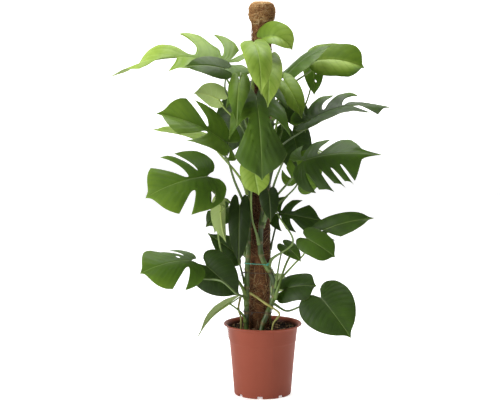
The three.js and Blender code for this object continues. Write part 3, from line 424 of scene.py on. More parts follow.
def bezier(points, t):
    """Points of a curve with two or more control points, at each t from 0 to 1."""
    t = np.asarray(t, float)[..., None]
    level = [np.asarray(p, float) for p in points]
    while len(level) > 1:
        level = [a * (1 - t) + b * t for a, b in zip(level, level[1:])]
    return level[0]


def hermite(p1, p2, v1, v2, t):
    """Points of a curve from p1 to p2 that leaves along v1 and arrives along v2."""
    t = t[..., None]
    cubic = 2 * p1 - 2 * p2 + v1 + v2
    square = -3 * p1 + 3 * p2 - 2 * v1 - v2
    return cubic * t**3 + square * t**2 + v1 * t + p1


def outline_at(vein):
    """The blade's outline, through its points, at each vein from 0 to 1."""
    points = np.asarray(OUTLINE, float)
    last = len(points) - 1
    place = np.clip(np.asarray(vein, float), 0, 1) * last
    i = np.minimum(np.floor(place).astype(int), last - 1)
    before, after = np.maximum(i - 1, 0), np.minimum(i + 2, last)
    v1 = (points[i + 1] - points[before]) / 2
    v2 = (points[after] - points[i]) / 2
    return hermite(points[i], points[i + 1], v1, v2, place - i)


def through(points, count, power=0.0, closed=False):
    """count points of a curve through the given points. power 0.25 keeps sharp bends tight."""
    points = np.asarray(points, float)
    if closed:
        points = np.concatenate([points[-1:], points, points[:2]])
    else:
        first, last = 2 * points[0] - points[1], 2 * points[-1] - points[-2]
        points = np.concatenate([[first], points, [last]])
    place = np.linspace(0, len(points) - 3, count, endpoint=not closed)
    i = np.minimum(np.floor(place).astype(int), len(points) - 4)
    p0, p1, p2, p3 = (points[i + k] for k in range(4))
    steps = [np.linalg.norm(b - a, axis=-1)[:, None] for a, b in ((p0, p1), (p1, p2), (p2, p3))]
    d0, d1, d2 = (np.maximum(step ** (2 * power), 1e-4) for step in steps)
    v1 = ((p1 - p0) / d0 - (p2 - p0) / (d0 + d1) + (p2 - p1) / d1) * d1
    v2 = ((p2 - p1) / d1 - (p3 - p1) / (d1 + d2) + (p3 - p2) / d2) * d1
    return hermite(p1, p2, v1, v2, place - i)


def evenly(path, count):
    """The path again, with count points at equal distances."""
    lengths = np.concatenate([[0], np.cumsum(np.linalg.norm(np.diff(path, axis=0), axis=1))])
    wanted = np.linspace(0, lengths[-1], count)
    return np.stack([np.interp(wanted, lengths, path[:, k]) for k in range(path.shape[1])], axis=1)


def lumps(points, size, seed):
    """A smooth random number from about -1 to 1 for each point, with waves of about that size."""
    rng = np.random.default_rng(seed)
    points = np.asarray(points, float)
    total = np.zeros(points.shape[:-1])
    for _ in range(6):
        way = unit(rng.normal(size=points.shape[-1])) * 2 * np.pi / (size * rng.uniform(0.7, 1.6))
        total += np.sin(points @ way + rng.uniform(0, 2 * np.pi))
    return total / 3


# Meshes


class Shape:
    """Points in millimetres, the faces on them, and numbers that a material reads at each point."""

    def __init__(self):
        self.points = []
        self.faces = []
        self.values = []
        self.count = 0

    def add(self, points, *grids, slot=0, shaded=True, **values):
        """Adds points, the faces on them and values. A value is one number or one for each point."""
        points = np.asarray(points, float).reshape(-1, 3)
        for faces in grids:
            self.faces.append((np.asarray(faces, int) + self.count, slot, shaded))
        self.points.append(points)
        self.values.append({key: np.broadcast_to(v, len(points)) for key, v in values.items()})
        self.count += len(points)

    def flat(self, faces, start):
        """Adds faces with hard edges on points that are there already, counted from start."""
        self.faces.append((np.asarray(faces, int) + start, 0, False))

    def make(self, name, looks):
        """The finished object, with the looks as its material slots and the values as attributes."""
        mesh = bpy.data.meshes.new(name)
        points = np.concatenate(self.points)
        corners = np.concatenate([faces.ravel() for faces, _, _ in self.faces])
        sizes = np.concatenate([np.full(len(f), f.shape[1]) for f, _, _ in self.faces])
        slots = np.concatenate([np.full(len(f), slot) for f, slot, _ in self.faces])
        shaded = np.concatenate([np.full(len(f), smoothed) for f, _, smoothed in self.faces])
        mesh.vertices.add(len(points))
        mesh.vertices.foreach_set("co", (points * MM).ravel())
        mesh.loops.add(len(corners))
        mesh.loops.foreach_set("vertex_index", corners)
        mesh.polygons.add(len(sizes))
        mesh.polygons.foreach_set("loop_start", np.cumsum(sizes) - sizes)
        mesh.polygons.foreach_set("material_index", slots)
        mesh.polygons.foreach_set("use_smooth", shaded)
        mesh.update(calc_edges=True)
        for key in sorted({key for values in self.values for key in values}):
            numbers = [v.get(key, np.zeros(len(p))) for v, p in zip(self.values, self.points)]
            made = mesh.attributes.new(key, "FLOAT", "POINT")
            made.data.foreach_set("value", np.concatenate(numbers).astype(np.float32))
        for look in looks:
            mesh.materials.append(look)
        thing = bpy.data.objects.new(name, mesh)
        bpy.context.scene.collection.objects.link(thing)
        return thing


def grid_faces(rows, columns, wrap=False):
    """The quads of a grid of points kept row by row. A wrapped grid closes on itself along its rows."""
    i, j = np.meshgrid(np.arange(rows - 1), np.arange(columns if wrap else columns - 1), indexing="ij")
    k = (j + 1) % columns
    quads = np.stack([i * columns + j, i * columns + k, (i + 1) * columns + k, (i + 1) * columns + j], -1)
    return quads.reshape(-1, 4)


def fan_faces(ring, centre, flip=False):
    """Triangles from each side of a ring of points to the point in its centre."""
    following = np.roll(ring, -1)
    first, second = (following, ring) if flip else (ring, following)
    return np.stack([first, second, np.full(len(ring), centre)], axis=1)


def tube(path, radii, sides, profile=1):
    """Rings of points round a path and the faces between them, closed at both ends.

    profile gives each ring's outline as numbers that multiply its radius, ring by ring.
    """
    path = np.asarray(path, float)
    tangents = unit(np.gradient(path, axis=0))
    normal = np.array([0.31, 0.2, 0.93])
    normals = []
    for tangent in tangents:
        normal = unit(normal - tangent * (normal @ tangent))
        normals.append(normal)
    normals = np.array(normals)
    across = np.cross(tangents, normals)
    reach = np.broadcast_to(radii, len(path))[:, None] * np.ones(sides) * profile
    ring = circling(turns(sides), normals[:, None], across[:, None])
    points = path[:, None] + reach[..., None] * ring
    count = len(path) * sides
    points = np.concatenate([points.reshape(-1, 3), path[:1], path[-1:]])
    last = np.arange(sides) + count - sides
    caps = np.concatenate([fan_faces(np.arange(sides), count, flip=True), fan_faces(last, count + 1)])
    return points, grid_faces(len(path), sides, wrap=True), caps


def strands(paths, radii, outward):
    """Many thin strands at once: paths holds each one's points, outward a way square to most of them."""
    count, steps, _ = paths.shape
    sides = STRAND_SIDES
    tangents = unit(np.gradient(paths, axis=1))
    normals = unit(np.cross(tangents, outward))
    across = np.cross(tangents, normals)
    ring = circling(turns(sides), normals[:, :, None], across[:, :, None])
    points = paths[:, :, None] + radii[..., None, None] * ring
    starts = steps * sides * np.arange(count)[:, None]
    quads = grid_faces(steps, sides, wrap=True) + starts[..., None]
    first = starts + np.arange(sides)[::-1]
    last = starts + (steps - 1) * sides + np.arange(sides)
    return points.reshape(-1, 3), quads.reshape(-1, 4), np.concatenate([first, last])


def turned(profile, angles):
    """The points of a shape turned about +Z, row by row, from its radii and heights."""
    radii, heights = np.asarray(profile, float).T[..., None, None]
    return radii * circling(angles, (1, 0, 0), (0, 1, 0)) + heights * UP


def rounded(profile, radius, steps=3):
    """The profile with its inner corners rounded off, by about that radius."""
    profile = [np.asarray(p, float) for p in profile]
    out = [profile[0]]
    for before, corner, after in zip(profile, profile[1:], profile[2:]):
        a, b = before - corner, after - corner
        reach = min(radius, np.linalg.norm(a) * 0.45, np.linalg.norm(b) * 0.45)
        ends = corner + unit(a) * reach, corner, corner + unit(b) * reach
        out += list(bezier(ends, np.linspace(0, 1, steps)))
    return np.array(out + [profile[-1]])


# Leaves. A flat half blade is measured in half widths from the midrib and in lengths from the
# junction. Its side veins run from the midrib to the outline and carry the cuts between lobes.


def flat_points(vein, along, full, drip):
    """Where the points lie on a flat half blade, from their vein and their share of its way along."""
    edge = outline_at(vein)
    x, y = edge[..., 0], edge[..., 1]
    inside = (x > 0) & (y > 0)
    up = np.minimum(y, 1)
    squared = full * np.minimum(np.minimum(SQUARING_FALL * (1 - vein), 2 * up), SQUARING_MOST)
    wide = np.where(inside, np.maximum(x, 1e-9) ** (1 - squared), x)
    far = np.where(inside, y + FULL_LIFT * full * np.sin(np.pi * up), y)
    start = np.maximum((vein - RIB_FAN) / (1 - RIB_FAN), 0) ** RIB_CROWDING
    tip_share = smooth((vein - LAST_VEINS) / (1 - LAST_VEINS))
    far = far + drip * tip_share
    start = start + (OUTLINE_TIP - 1 + drip) * tip_share
    sag = RIB_SAG * (2 * smooth(vein / RIB_FAN) - 1) * np.hypot(wide, far - start)
    rest = 1 - along
    flat_x = along * rest * wide + along**2 * wide
    flat_y = rest**2 * start + 2 * along * rest * ((start + far) / 2 - sag) + along**2 * far
    return flat_x, flat_y


class Blade:
    """A leaf blade in space: its midrib, its frame, and where its flat points come to lie."""

    def __init__(self, leaf, number):
        self.leaf = leaf
        self.phase = 1.3 * number
        base, tip = np.array(leaf.base, float), np.array(leaf.tip, float)
        chord = tip - base
        self.forward = unit(chord)
        face = np.array(leaf.face, float)
        self.up = unit(face - self.forward * (face @ self.forward))
        self.across = np.cross(self.forward, self.up)
        knee = (base + tip) / 2 + self.up * 2 * leaf.arch * np.linalg.norm(chord)
        self.ends = (base, knee, tip)
        self.t = np.linspace(0, 1, 201)
        steps = np.linalg.norm(np.diff(bezier(self.ends, self.t), axis=0), axis=1)
        self.lengths = np.concatenate([[0], np.cumsum(steps)])
        self.length = self.lengths[-1]

    def midrib(self, share):
        """The point and the direction of the midrib at a share of its length."""
        t = np.interp(np.clip(share, 0, 1) * self.length, self.lengths, self.t)
        base, knee, tip = self.ends
        way = (knee - base) * (1 - t)[..., None] + (tip - knee) * t[..., None]
        return bezier(self.ends, t), unit(way)

    def place(self, x, y, side, wave):
        """Where a flat point lies, for a half that is folded at the midrib and bent to its edge."""
        leaf = self.leaf
        fold, bend, *end = leaf.left if side < 0 else leaf.right
        out, far = x * leaf.width, y * self.length
        spot, way = self.midrib(y)
        normal = unit(np.cross(self.across, way))
        spot = spot + way * (np.minimum(far, 0) + np.maximum(far - self.length, 0))[..., None]
        change = (end[0] - fold if end else 0) * smooth((y - FOLD_HOLD) / (1 - FOLD_HOLD))
        start = np.radians(fold + change)
        turn = math.radians(bend) / leaf.width
        level = (np.sin(start + turn * out) - np.sin(start)) / turn
        rise = (np.cos(start) - np.cos(start + turn * out)) / turn
        return spot + self.across * side * level[..., None] + normal * (rise + wave)[..., None]


def cut_opening(cut, along, side):
    """How far a cut opens, in veins, to its back (side -1) or forward (side 1)."""
    if cut is None:
        return np.zeros_like(along)
    t = np.clip((along - cut.start) / (1 - cut.start), 0, 1)
    return side * (cut.back if side < 0 else cut.forward) * t**CUT_ROUNDING


def hole_opening(hole, along):
    """Half the width of a hole, in veins."""
    t = np.clip((along - hole.start) / (hole.end - hole.start), 0, 1)
    return hole.open * np.sin(np.pi * t) ** HOLE_ROUNDING


def row_positions(leaf, cuts, holes):
    """Rows from the midrib to the edge, closer together where a cut or a hole begins."""
    count = fine(BLADE_ROWS if leaf.width >= SMALL_BLADE else SMALL_BLADE_ROWS)
    rows = list(EDGE_ROWS)
    for cut in cuts:
        rows += [cut.start + (1 - cut.start) * share for share in CUT_ROWS]
    for hole in holes:
        rows += [hole.start + (hole.end - hole.start) * share for share in HOLE_ROWS]
        rows += [hole.end - (hole.end - hole.start) * share for share in HOLE_ROWS[:-1]]
    fixed = np.array(sorted(rows))
    regular = [row for row in np.arange(1, count) / count if np.abs(fixed - row).min() > 0.4 / count]
    return np.unique(np.round(np.concatenate([fixed, regular]), 5))


def half_grids(leaf, cuts, holes):
    """The grids of one half blade, one for each lobe or stretch between holes.

    vein and along give a point's place on the flat half, and reach its place with the lobe's slant.
    spread grows from where a cut begins to the edge, bulge is that at a lobe's two sides, and rank
    counts the side veins.
    """
    rows = row_positions(leaf, cuts, holes)
    columns_in_all = (BLADE_COLUMNS if leaf.width >= SMALL_BLADE else SMALL_BLADE_COLUMNS) * DETAIL
    borders = [None, *cuts, None]
    rank = 0
    for lobe, (before, after) in enumerate(zip(borders, borders[1:])):
        low = before.vein if before else FIRST_VEIN
        high = after.vein if after else 1
        clear = max(before.start if before else 0, after.start if after else 0)
        within = [hole for hole in holes if low < hole.vein < high]
        stops = [0, *[(hole.vein - low) / (high - low) for hole in within], 1]
        veins = max(1, round((high - low) * SIDE_VEINS * (1 if leaf.width >= SMALL_BLADE else 0.7)))
        for k, (first, last) in enumerate(zip(stops, stops[1:])):
            columns = max(3, round((last - first) * (high - low) * columns_in_all))
            along, t = np.meshgrid(rows, np.linspace(first, last, columns + 1), indexing="ij")
            start = low + cut_opening(before, along, 1)
            vein = start + (high + cut_opening(after, along, -1) - start) * t
            if k:
                vein[:, 0] += hole_opening(within[k - 1], along[:, 0])
            if k < len(within):
                vein[:, -1] -= hole_opening(within[k], along[:, -1])
            spread = smooth((along - clear) / (1 - clear)) if before or after else along * 0
            slant = LOBE_REACH * t**3 if after else 0
            slant = slant - (LOBE_SLANT * (1 - t) ** 1.5 if before and after else 0)
            loose = np.where(t < 0.5, before is not None, after is not None)
            bulge = (2 * t - 1) ** 2 * spread * loose
            yield {
                "vein": vein, "along": along, "reach": along * (1 + slant * spread), "lobe": lobe,
                "spread": spread, "bulge": bulge, "rank": rank + t * veins,
            }
        rank += veins


def blade_relief(blade, grid, x, phase):
    """How far each point stands off the smooth blade: lobes, folds of the veins, midrib and rim."""
    vein, along = grid["vein"], grid["along"]
    width = blade.leaf.width
    lift = np.sin(2.4 * grid["lobe"] + phase) * grid["spread"] - grid["bulge"]
    ripple = 0.6 * np.sin(11 * vein + phase) * along**2
    wave = LOBE_WAVE * blade.length * (lift + ripple) * smooth(x / WAVE_START)
    pleat = 0.5 * np.cos(2 * np.pi * grid["rank"])
    wave += VEIN_PLEAT * width * pleat * smooth(x / 0.2) * (1 - 0.5 * along**4)
    wave -= MIDRIB_GROOVE * (1 - smooth(x * width / MIDRIB_WIDTH))
    frill = np.sin(37 * vein + 3 * phase) + np.sin(61 * vein + 5 * phase)
    return wave + RIM_FRILL * width * frill * smooth((along - 0.75) / 0.25)


def blade_sheet(blade):
    """The blade as one sheet: its points, its quads and the numbers that its material reads."""
    leaf = blade.leaf
    points, faces, keys, values = [], [], [], []
    count = 0
    halves = (
        (-1, leaf.left_cuts, leaf.left_holes, blade.phase + 1.7),
        (1, leaf.right_cuts, leaf.right_holes, blade.phase),
    )
    for (side, cuts, holes, phase), shift, rim in zip(halves, leaf.sides, leaf.rims):
        for grid in half_grids(leaf, cuts, holes):
            vein, along, rank = grid["vein"], grid["along"], grid["rank"]
            x, y = flat_points(vein, grid["reach"], leaf.full, leaf.drip)
            spot = blade.place(x, y, side, blade_relief(blade, grid, x, phase))
            uneven = UNEVENNESS * blade.length * lumps(spot, 60, 7) * smooth(x / 0.3)
            spot += blade.up * uneven[..., None]
            step = np.linalg.norm(np.gradient(spot, axis=1), axis=-1)
            width = step / np.maximum(np.abs(np.gradient(rank, axis=1)), 1e-6)
            # Painted light and shade: the leaf's tones, and what its halves and rims add, make lit parts
            # paler and shaded parts darker.
            tone = np.interp(y, (0, 1), leaf.tones) + shift * smooth(x / 0.2) + rim * along**3
            keys.append(np.stack([x * side, y], axis=-1).reshape(-1, 2))
            values.append(np.stack([tone, x * leaf.width, rank, width, along], axis=-1).reshape(-1, 5))
            points.append(spot.reshape(-1, 3))
            quads = grid_faces(*vein.shape) + count
            faces.append(quads if side < 0 else quads[:, ::-1])
            count += vein.size
    _, first, again = np.unique(
        np.round(np.concatenate(keys), 6), axis=0, return_index=True, return_inverse=True,
    )
    quads = again.reshape(-1)[np.concatenate(faces)]
    return np.concatenate(points)[first], quads, np.concatenate(values)[first]


def triangles(quads):
    """The quads as triangles, without those that have no area."""
    split = np.concatenate([quads[:, [0, 1, 2]], quads[:, [0, 2, 3]]])
    a, b, c = split.T
    return split[(a != b) & (b != c) & (c != a)]


def border(faces):
    """The edges that only one triangle has, in its own direction."""
    edges = np.concatenate([faces[:, [0, 1]], faces[:, [1, 2]], faces[:, [2, 0]]])
    size = faces.max() + 1
    forward = edges[:, 0] * size + edges[:, 1]
    backward = edges[:, 1] * size + edges[:, 0]
    return edges[~np.isin(forward, backward)]


def facings(points, faces):
    """The way each point of a sheet faces, from the triangles round it."""
    a, b, c = (points[faces[:, k]] for k in range(3))
    normals = np.cross(b - a, c - a)
    total = np.zeros_like(points)
    for k in range(3):
        np.add.at(total, faces[:, k], normals)
    return unit(total)


def add_blade(shape, blade):
    """The upper face, the underside and the rim between them."""
    points, quads, numbers = blade_sheet(blade)
    faces = triangles(quads)
    away = facings(points, faces) * BLADE_THICKNESS / 2
    count = len(points)
    start = shape.count
    both = np.concatenate([faces, faces[:, ::-1] + count])
    tone, rib, rank, width, along = np.concatenate([numbers, numbers]).T
    under = np.repeat([0.0, 1.0], count)
    shape.add(
        np.concatenate([points + away, points - away]), both,
        tone=tone, rib=rib, rank=rank, reach=width, along=along, under=under,
    )
    rim = border(faces)
    shape.flat(np.stack([rim[:, 0], rim[:, 0] + count, rim[:, 1] + count, rim[:, 1]], axis=1), start)


def add_midrib(shape, blade):
    """The ridge of the midrib: pale, tapered, and proud of the underside."""
    share = np.linspace(0.01, 0.97, 40)
    spot, way = blade.midrib(share)
    down = -unit(np.cross(blade.across, way))
    thick = min(2.6, 1.2 + blade.length / 150) * (1 - 0.75 * share)
    spot = spot + down * (0.75 * thick + 0.9)[:, None]
    # The midrib takes part of its blade's tone, painted light and shade included.
    shape.add(*tube(spot, thick, 8), slot=1, tone=0.55 * blade.leaf.tones[0] + 0.3, along=0.5)


def stem_point(name, height):
    """Where the middle of a stem is at a height."""
    path = through(STEM_ROUTES[name], 400)
    return np.array([np.interp(height, path[:, 2], path[:, k]) for k in range(3)])


def stalk_path(blade):
    """Out of the stem, up beside it, over, and to the junction from under the blade."""
    leaf = blade.leaf
    angle = math.radians(leaf.side)
    out = np.array([math.cos(angle), math.sin(angle), 0])
    start = stem_point(leaf.stem, leaf.node) + out * (STEM_RADIUS - STALK_RADIUS)
    end = blade.midrib(np.array([0.04]))[0][0]
    span = np.linalg.norm(end - start)
    leave = start + (out * 0.12 + UP * 0.4) * span
    landing = blade.up * 0.55 + blade.forward * 0.45 + UP * 0.6
    arrive = end - unit(landing) * leaf.land * span
    if leaf.by:
        way = [start, start + (leave - start) * 0.25, *leaf.by, arrive, end]
        return evenly(through(way, 200, power=0.25), 44)
    return evenly(bezier([start, leave, arrive, end], np.linspace(0, 1, 200)), 44)


def add_stalk(shape, blade):
    """The stalk: a grooved sheath at its foot, a slim round middle and a knuckle under the blade."""
    path = stalk_path(blade)
    share = np.linspace(0, 1, len(path))
    size = 0.8 + min(blade.length / 300, 0.6)
    sheath = STALK_SHEATH * (1 - smooth(share / 0.22))
    knuckle = STALK_KNUCKLE * smooth((share - 0.9) / 0.04)
    radii = STALK_RADIUS * size * (1 - STALK_TAPER * smooth(share / 0.9)) * (1 + sheath + knuckle)
    radii[-1] *= 0.7
    groove = np.exp(-(turn_between(turns(STALK_SIDES), 1.6) ** 2) / 0.18)
    profile = 1 - STALK_GROOVE * groove * (1 - smooth((share - 0.1) / 0.5))[:, None]
    heights = np.concatenate([np.repeat(share, STALK_SIDES), [0, 1]])
    # The stalk takes part of its blade's tone, painted light and shade included, and a random shift.
    tone = 0.4 * blade.leaf.tones[0] + 0.16 + 0.12 * math.sin(blade.phase * 3)
    shape.add(*tube(path, radii, STALK_SIDES, profile), slot=1, tone=tone, along=heights)


# Materials


class Signal:
    """A value that one node gives to another, so that shader maths reads as plain maths."""

    def __init__(self, look, socket):
        self.look = look
        self.socket = socket

    def sum(self, operation, *others):
        """The result of one step of shader maths on this value and the others."""
        inputs = dict(enumerate((self, *others)))
        return self.look.node("ShaderNodeMath", inputs, operation=operation)

    def __add__(self, other):
        return self.sum("ADD", other)

    def __sub__(self, other):
        return self.sum("SUBTRACT", other)

    def __mul__(self, other):
        return self.sum("MULTIPLY", other)

    def absolute(self):
        return self.sum("ABSOLUTE")

    def fraction(self):
        return self.sum("FRACT")

    def between(self, low, high):
        """0 at low, 1 at high and a soft slope between them. low may be the higher number."""
        return self.look.node(
            "ShaderNodeMapRange", {"Value": self, "From Min": low, "From Max": high},
            interpolation_type="SMOOTHSTEP",
        )


class Look:
    """A material in the making."""

    def __init__(self, name, roughness, specular=0.5):
        self.material = bpy.data.materials.new(name)
        self.material.use_nodes = True
        self.tree = self.material.node_tree
        self.skin = self.tree.nodes["Principled BSDF"]
        self.set("Roughness", roughness)
        self.set("Specular IOR Level", specular)

    def connect(self, socket, value):
        """Feeds a socket from a signal, or sets it to a value."""
        if isinstance(value, Signal):
            self.tree.links.new(value.socket, socket)
        elif isinstance(value, tuple) and socket.type == "RGBA":
            socket.default_value = (*value[:3], 1)
        else:
            socket.default_value = value

    def node(self, kind, inputs=None, output=0, **settings):
        """Adds a node: its settings first, then its sockets. It returns the output that is named."""
        made = self.tree.nodes.new(kind)
        for key, value in settings.items():
            setattr(made, key, value)
        for key, value in (inputs or {}).items():
            self.connect(made.inputs[key], value)
        return Signal(self, made.outputs[output])

    def set(self, socket, value):
        """Feeds or sets a socket of the surface itself."""
        self.connect(self.skin.inputs[socket], value)

    def number(self, name):
        """A value that the shape holds at each point."""
        return self.node("ShaderNodeAttribute", output="Fac", attribute_name=name)

    def mix(self, factor, first, second):
        inputs = {0: factor, 6: first, 7: second}
        return self.node("ShaderNodeMix", inputs, output=2, data_type="RGBA")

    def place(self):
        return self.node("ShaderNodeTexCoord", output="Object")

    def stretched(self, scale):
        """The place on the object with each axis scaled, for a texture that runs along one of them."""
        return self.node("ShaderNodeMapping", {"Vector": self.place(), "Scale": scale})

    def noise(self, scale, detail=3, vector=None):
        """Cloudy noise from 0 to 1."""
        inputs = {"Vector": vector or self.place(), "Scale": scale, "Detail": detail}
        return self.node("ShaderNodeTexNoise", inputs)

    def ramp(self, factor, stops):
        """Colours along a factor, from (position, colour) pairs."""
        made = self.tree.nodes.new("ShaderNodeValToRGB")
        ramp = made.color_ramp
        while len(ramp.elements) < len(stops):
            ramp.elements.new(1)
        for element, (position, color) in zip(ramp.elements, stops):
            element.position = position
            element.color = (*color, 1)
        self.connect(made.inputs[0], factor)
        return Signal(self, made.outputs[0])

    def bump(self, height, strength, distance):
        """Relief in the shading, with the distance in millimetres."""
        inputs = {"Height": height, "Strength": strength, "Distance": distance * MM}
        self.set("Normal", self.node("ShaderNodeBump", inputs))

    def thin(self, color, factor):
        """Lets light through, as a leaf does."""
        glow = self.node("ShaderNodeBsdfTranslucent", {"Color": color})
        skin = Signal(self, self.skin.outputs[0])
        both = self.node("ShaderNodeMixShader", {0: factor, 1: skin, 2: glow})
        self.connect(self.tree.nodes["Material Output"].inputs["Surface"], both)


def paint(red, green, blue):
    """A colour as a screen shows it, from 0 to 255, as the shader takes it."""
    return tuple((part / 255) ** 2.2 for part in (red, green, blue))


def tones(*stops):
    """The colours of a ramp, from rows of a position, red, green and blue."""
    return [(position, paint(*color)) for position, *color in stops]


LEAF_TONES = tones(
    (0, 30, 36, 23), (0.25, 44, 56, 30), (0.5, 73, 98, 34), (0.75, 110, 136, 47), (1, 160, 184, 84),
)
STALK_TONES = tones((0, 52, 68, 30), (0.4, 92, 114, 48), (0.8, 146, 166, 74), (1, 184, 200, 108))
ROOT_TONES = tones((0.3, 120, 110, 55), (0.55, 150, 150, 80), (0.75, 175, 160, 105))
COIR_TONES = tones(
    (0, 52, 34, 24), (0.35, 112, 74, 46), (0.6, 156, 114, 72), (0.8, 190, 150, 98), (1, 224, 200, 152),
)
SOIL_TONES = tones(
    (0, 24, 19, 17), (0.35, 48, 37, 31), (0.6, 96, 72, 52), (0.8, 150, 122, 88), (1, 205, 190, 160),
)


def leaf_look():
    """Leaf: nearly black to lime, with paler veins and rim, and an underside that is duller."""
    look = Look("leaf_skin", 0.38, specular=0.2)
    rank, reach, rib = look.number("rank"), look.number("reach"), look.number("rib")
    under, along = look.number("under"), look.number("along")
    to_vein = (rank.fraction() - 0.5).absolute() * reach
    vein = to_vein.between(1.1, 0.3) * rib.between(0, 5)
    midrib = rib.between(1.7, 0.7)
    patches = look.noise(14, 4) - 0.5
    specks = look.noise(90, 2) - 0.5
    # The tone number holds painted light and shade as well as the leaf's own colour.
    level = look.number("tone") + patches * 0.3 + specks * 0.08 - vein * 0.05
    top = look.ramp(level + to_vein.between(6, 0) * -0.04, LEAF_TONES)
    top = look.mix(vein * 0.16, top, paint(120, 150, 70))
    top = look.mix(midrib * (level * 0.4 + 0.2), top, paint(160, 184, 96))
    top = look.mix(along.between(0.985, 1.0) * 0.35, top, paint(170, 180, 100))
    below = look.ramp(level * 0.5 + 0.5, LEAF_TONES)
    below = look.mix(0.55, below, paint(165, 178, 130))
    below = look.mix(vein * 0.3 + midrib * 0.5, below, paint(190, 200, 150))
    look.set("Base Color", look.mix(under, top, below))
    look.set("Roughness", under * 0.2 + patches * 0.1 + 0.46)
    net = look.node("ShaderNodeTexVoronoi", {"Vector": look.place(), "Scale": 260.0})
    look.bump(net * 0.35 + look.noise(60, 3) + vein * 0.6, 0.25, 0.7)
    look.thin(paint(150, 190, 40), 0.22)
    return look.material


def stalk_look():
    """Stalk and midrib: streaks of green along it."""
    look = Look("stalk_skin", 0.42)
    streaks = look.noise(40, 4, look.stretched((1, 1, 0.12))) - 0.5
    look.set("Base Color", look.ramp(look.number("tone") + streaks * 0.35, STALK_TONES))
    look.bump(streaks, 0.2, 0.5)
    return look.material


def stem_look():
    """Stem: streaked green, with tan scars at its joints."""
    look = Look("stem_skin", 0.5)
    streaks = look.noise(30, 5, look.stretched((1, 1, 0.15))) - 0.5
    scar = look.number("scar")
    green = look.ramp(look.number("tone") + streaks * 0.6, STALK_TONES)
    tan = look.mix(look.noise(60, 3), paint(96, 76, 44), paint(130, 106, 62))
    look.set("Base Color", look.mix(scar, green, tan))
    look.set("Roughness", scar * 0.3 + 0.42)
    look.bump(streaks + look.noise(120, 3) * 0.5, 0.35, 0.8)
    return look.material


def root_look():
    """Aerial root: olive to straw."""
    look = Look("root_skin", 0.55)
    change = look.noise(35, 4, look.stretched((1, 1, 0.3)))
    look.set("Base Color", look.ramp(change, ROOT_TONES))
    look.bump(look.noise(140, 3), 0.3, 0.5)
    return look.material


def coir_look():
    """Coconut fibre: straw to brown, and nearly black where its dark number is high."""
    look = Look("coir_fibre", 0.9, specular=0.25)
    shade, dark = look.number("shade"), look.number("dark")
    grain = look.noise(120, 3, look.stretched((1, 1, 0.4))) - 0.5
    fibre = look.ramp(shade + grain * 0.25, COIR_TONES)
    look.set("Base Color", look.mix(dark, fibre, paint(44, 28, 22)))
    look.bump(grain, 0.4, 1.0)
    return look.material


def soil_look():
    """Soil, chips of bark and stones, by their shade."""
    look = Look("soil_grain", 0.95, specular=0.2)
    grain = look.noise(220, 4) - 0.5
    look.set("Base Color", look.ramp(look.number("shade") + grain * 0.2, SOIL_TONES))
    look.bump(grain, 0.6, 1.0)
    return look.material


def pot_look():
    """Moulded terracotta coloured plastic, scuffed, with painted shade on its inside."""
    look = Look("pot_plastic", 0.5, specular=0.12)
    clouds = look.noise(7, 3) - 0.5
    scuffs = look.noise(50, 4, look.stretched((1, 1, 0.2))) - 0.5
    color = look.mix(clouds + 0.5, paint(126, 65, 50), paint(138, 74, 58))
    # Painted shade: the inside of the pot is darkened towards a dark brown.
    look.set("Base Color", look.mix(look.number("dust") * 0.85, color, paint(58, 34, 27)))
    look.set("Roughness", scuffs * 0.25 + 0.5)
    look.bump(scuffs, 0.08, 0.4)
    return look.material


def plain_look(name, color, roughness):
    """One colour, with slightly darker clouds."""
    look = Look(name, roughness)
    look.set("Base Color", look.mix(look.noise(80, 2), color, tuple(part * 0.75 for part in color)))
    return look.material


# Pieces


def declare(thing, nodes):
    """Says which body a piece rides and which solids it replaces."""
    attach(thing, "root")
    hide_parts(*nodes)
    return thing


def pole_frame():
    """The pole's foot, its direction, and two ways square to it."""
    foot, top = np.array(POLE_FOOT, float), np.array(POLE_TOP, float)
    axis = unit(top - foot)
    side = unit(np.cross((0, 1, 0), axis))
    return foot, axis, side, np.cross(axis, side), np.linalg.norm(top - foot)


def coir_radius(along, length):
    """The radius of the sleeve at each distance from the pole's foot, with the knob at its end."""
    knob = length - KNOB_HEIGHT
    body = np.interp(along, (0, 500), (COIR_FOOT_RADIUS, COIR_RADIUS))
    heights = (knob, knob + 9, knob + 24, length - 18, length - 6, length)
    radii = (COIR_RADIUS, COIR_RADIUS + 6, KNOB_RADIUS, KNOB_RADIUS, *KNOB_EDGE_RADII)
    return np.where(along < knob, body, np.interp(along, heights, radii))


def on_pole(along, angle, radius):
    """Points at distances along the pole, angles round it and radii from its axis."""
    foot, axis, side, front, _ = pole_frame()
    return foot + along[..., None] * axis + circling(angle, side, front) * radius[..., None]


def pot_wall(z):
    """The radius of the pot's outside at a height, without its lip."""
    radii = (POT_FOOT_RADIUS, POT_SHOULDER_RADIUS, POT_BAND_RADIUS)
    return float(np.interp(z, (0, POT_SHOULDER, POT_HEIGHT), radii))


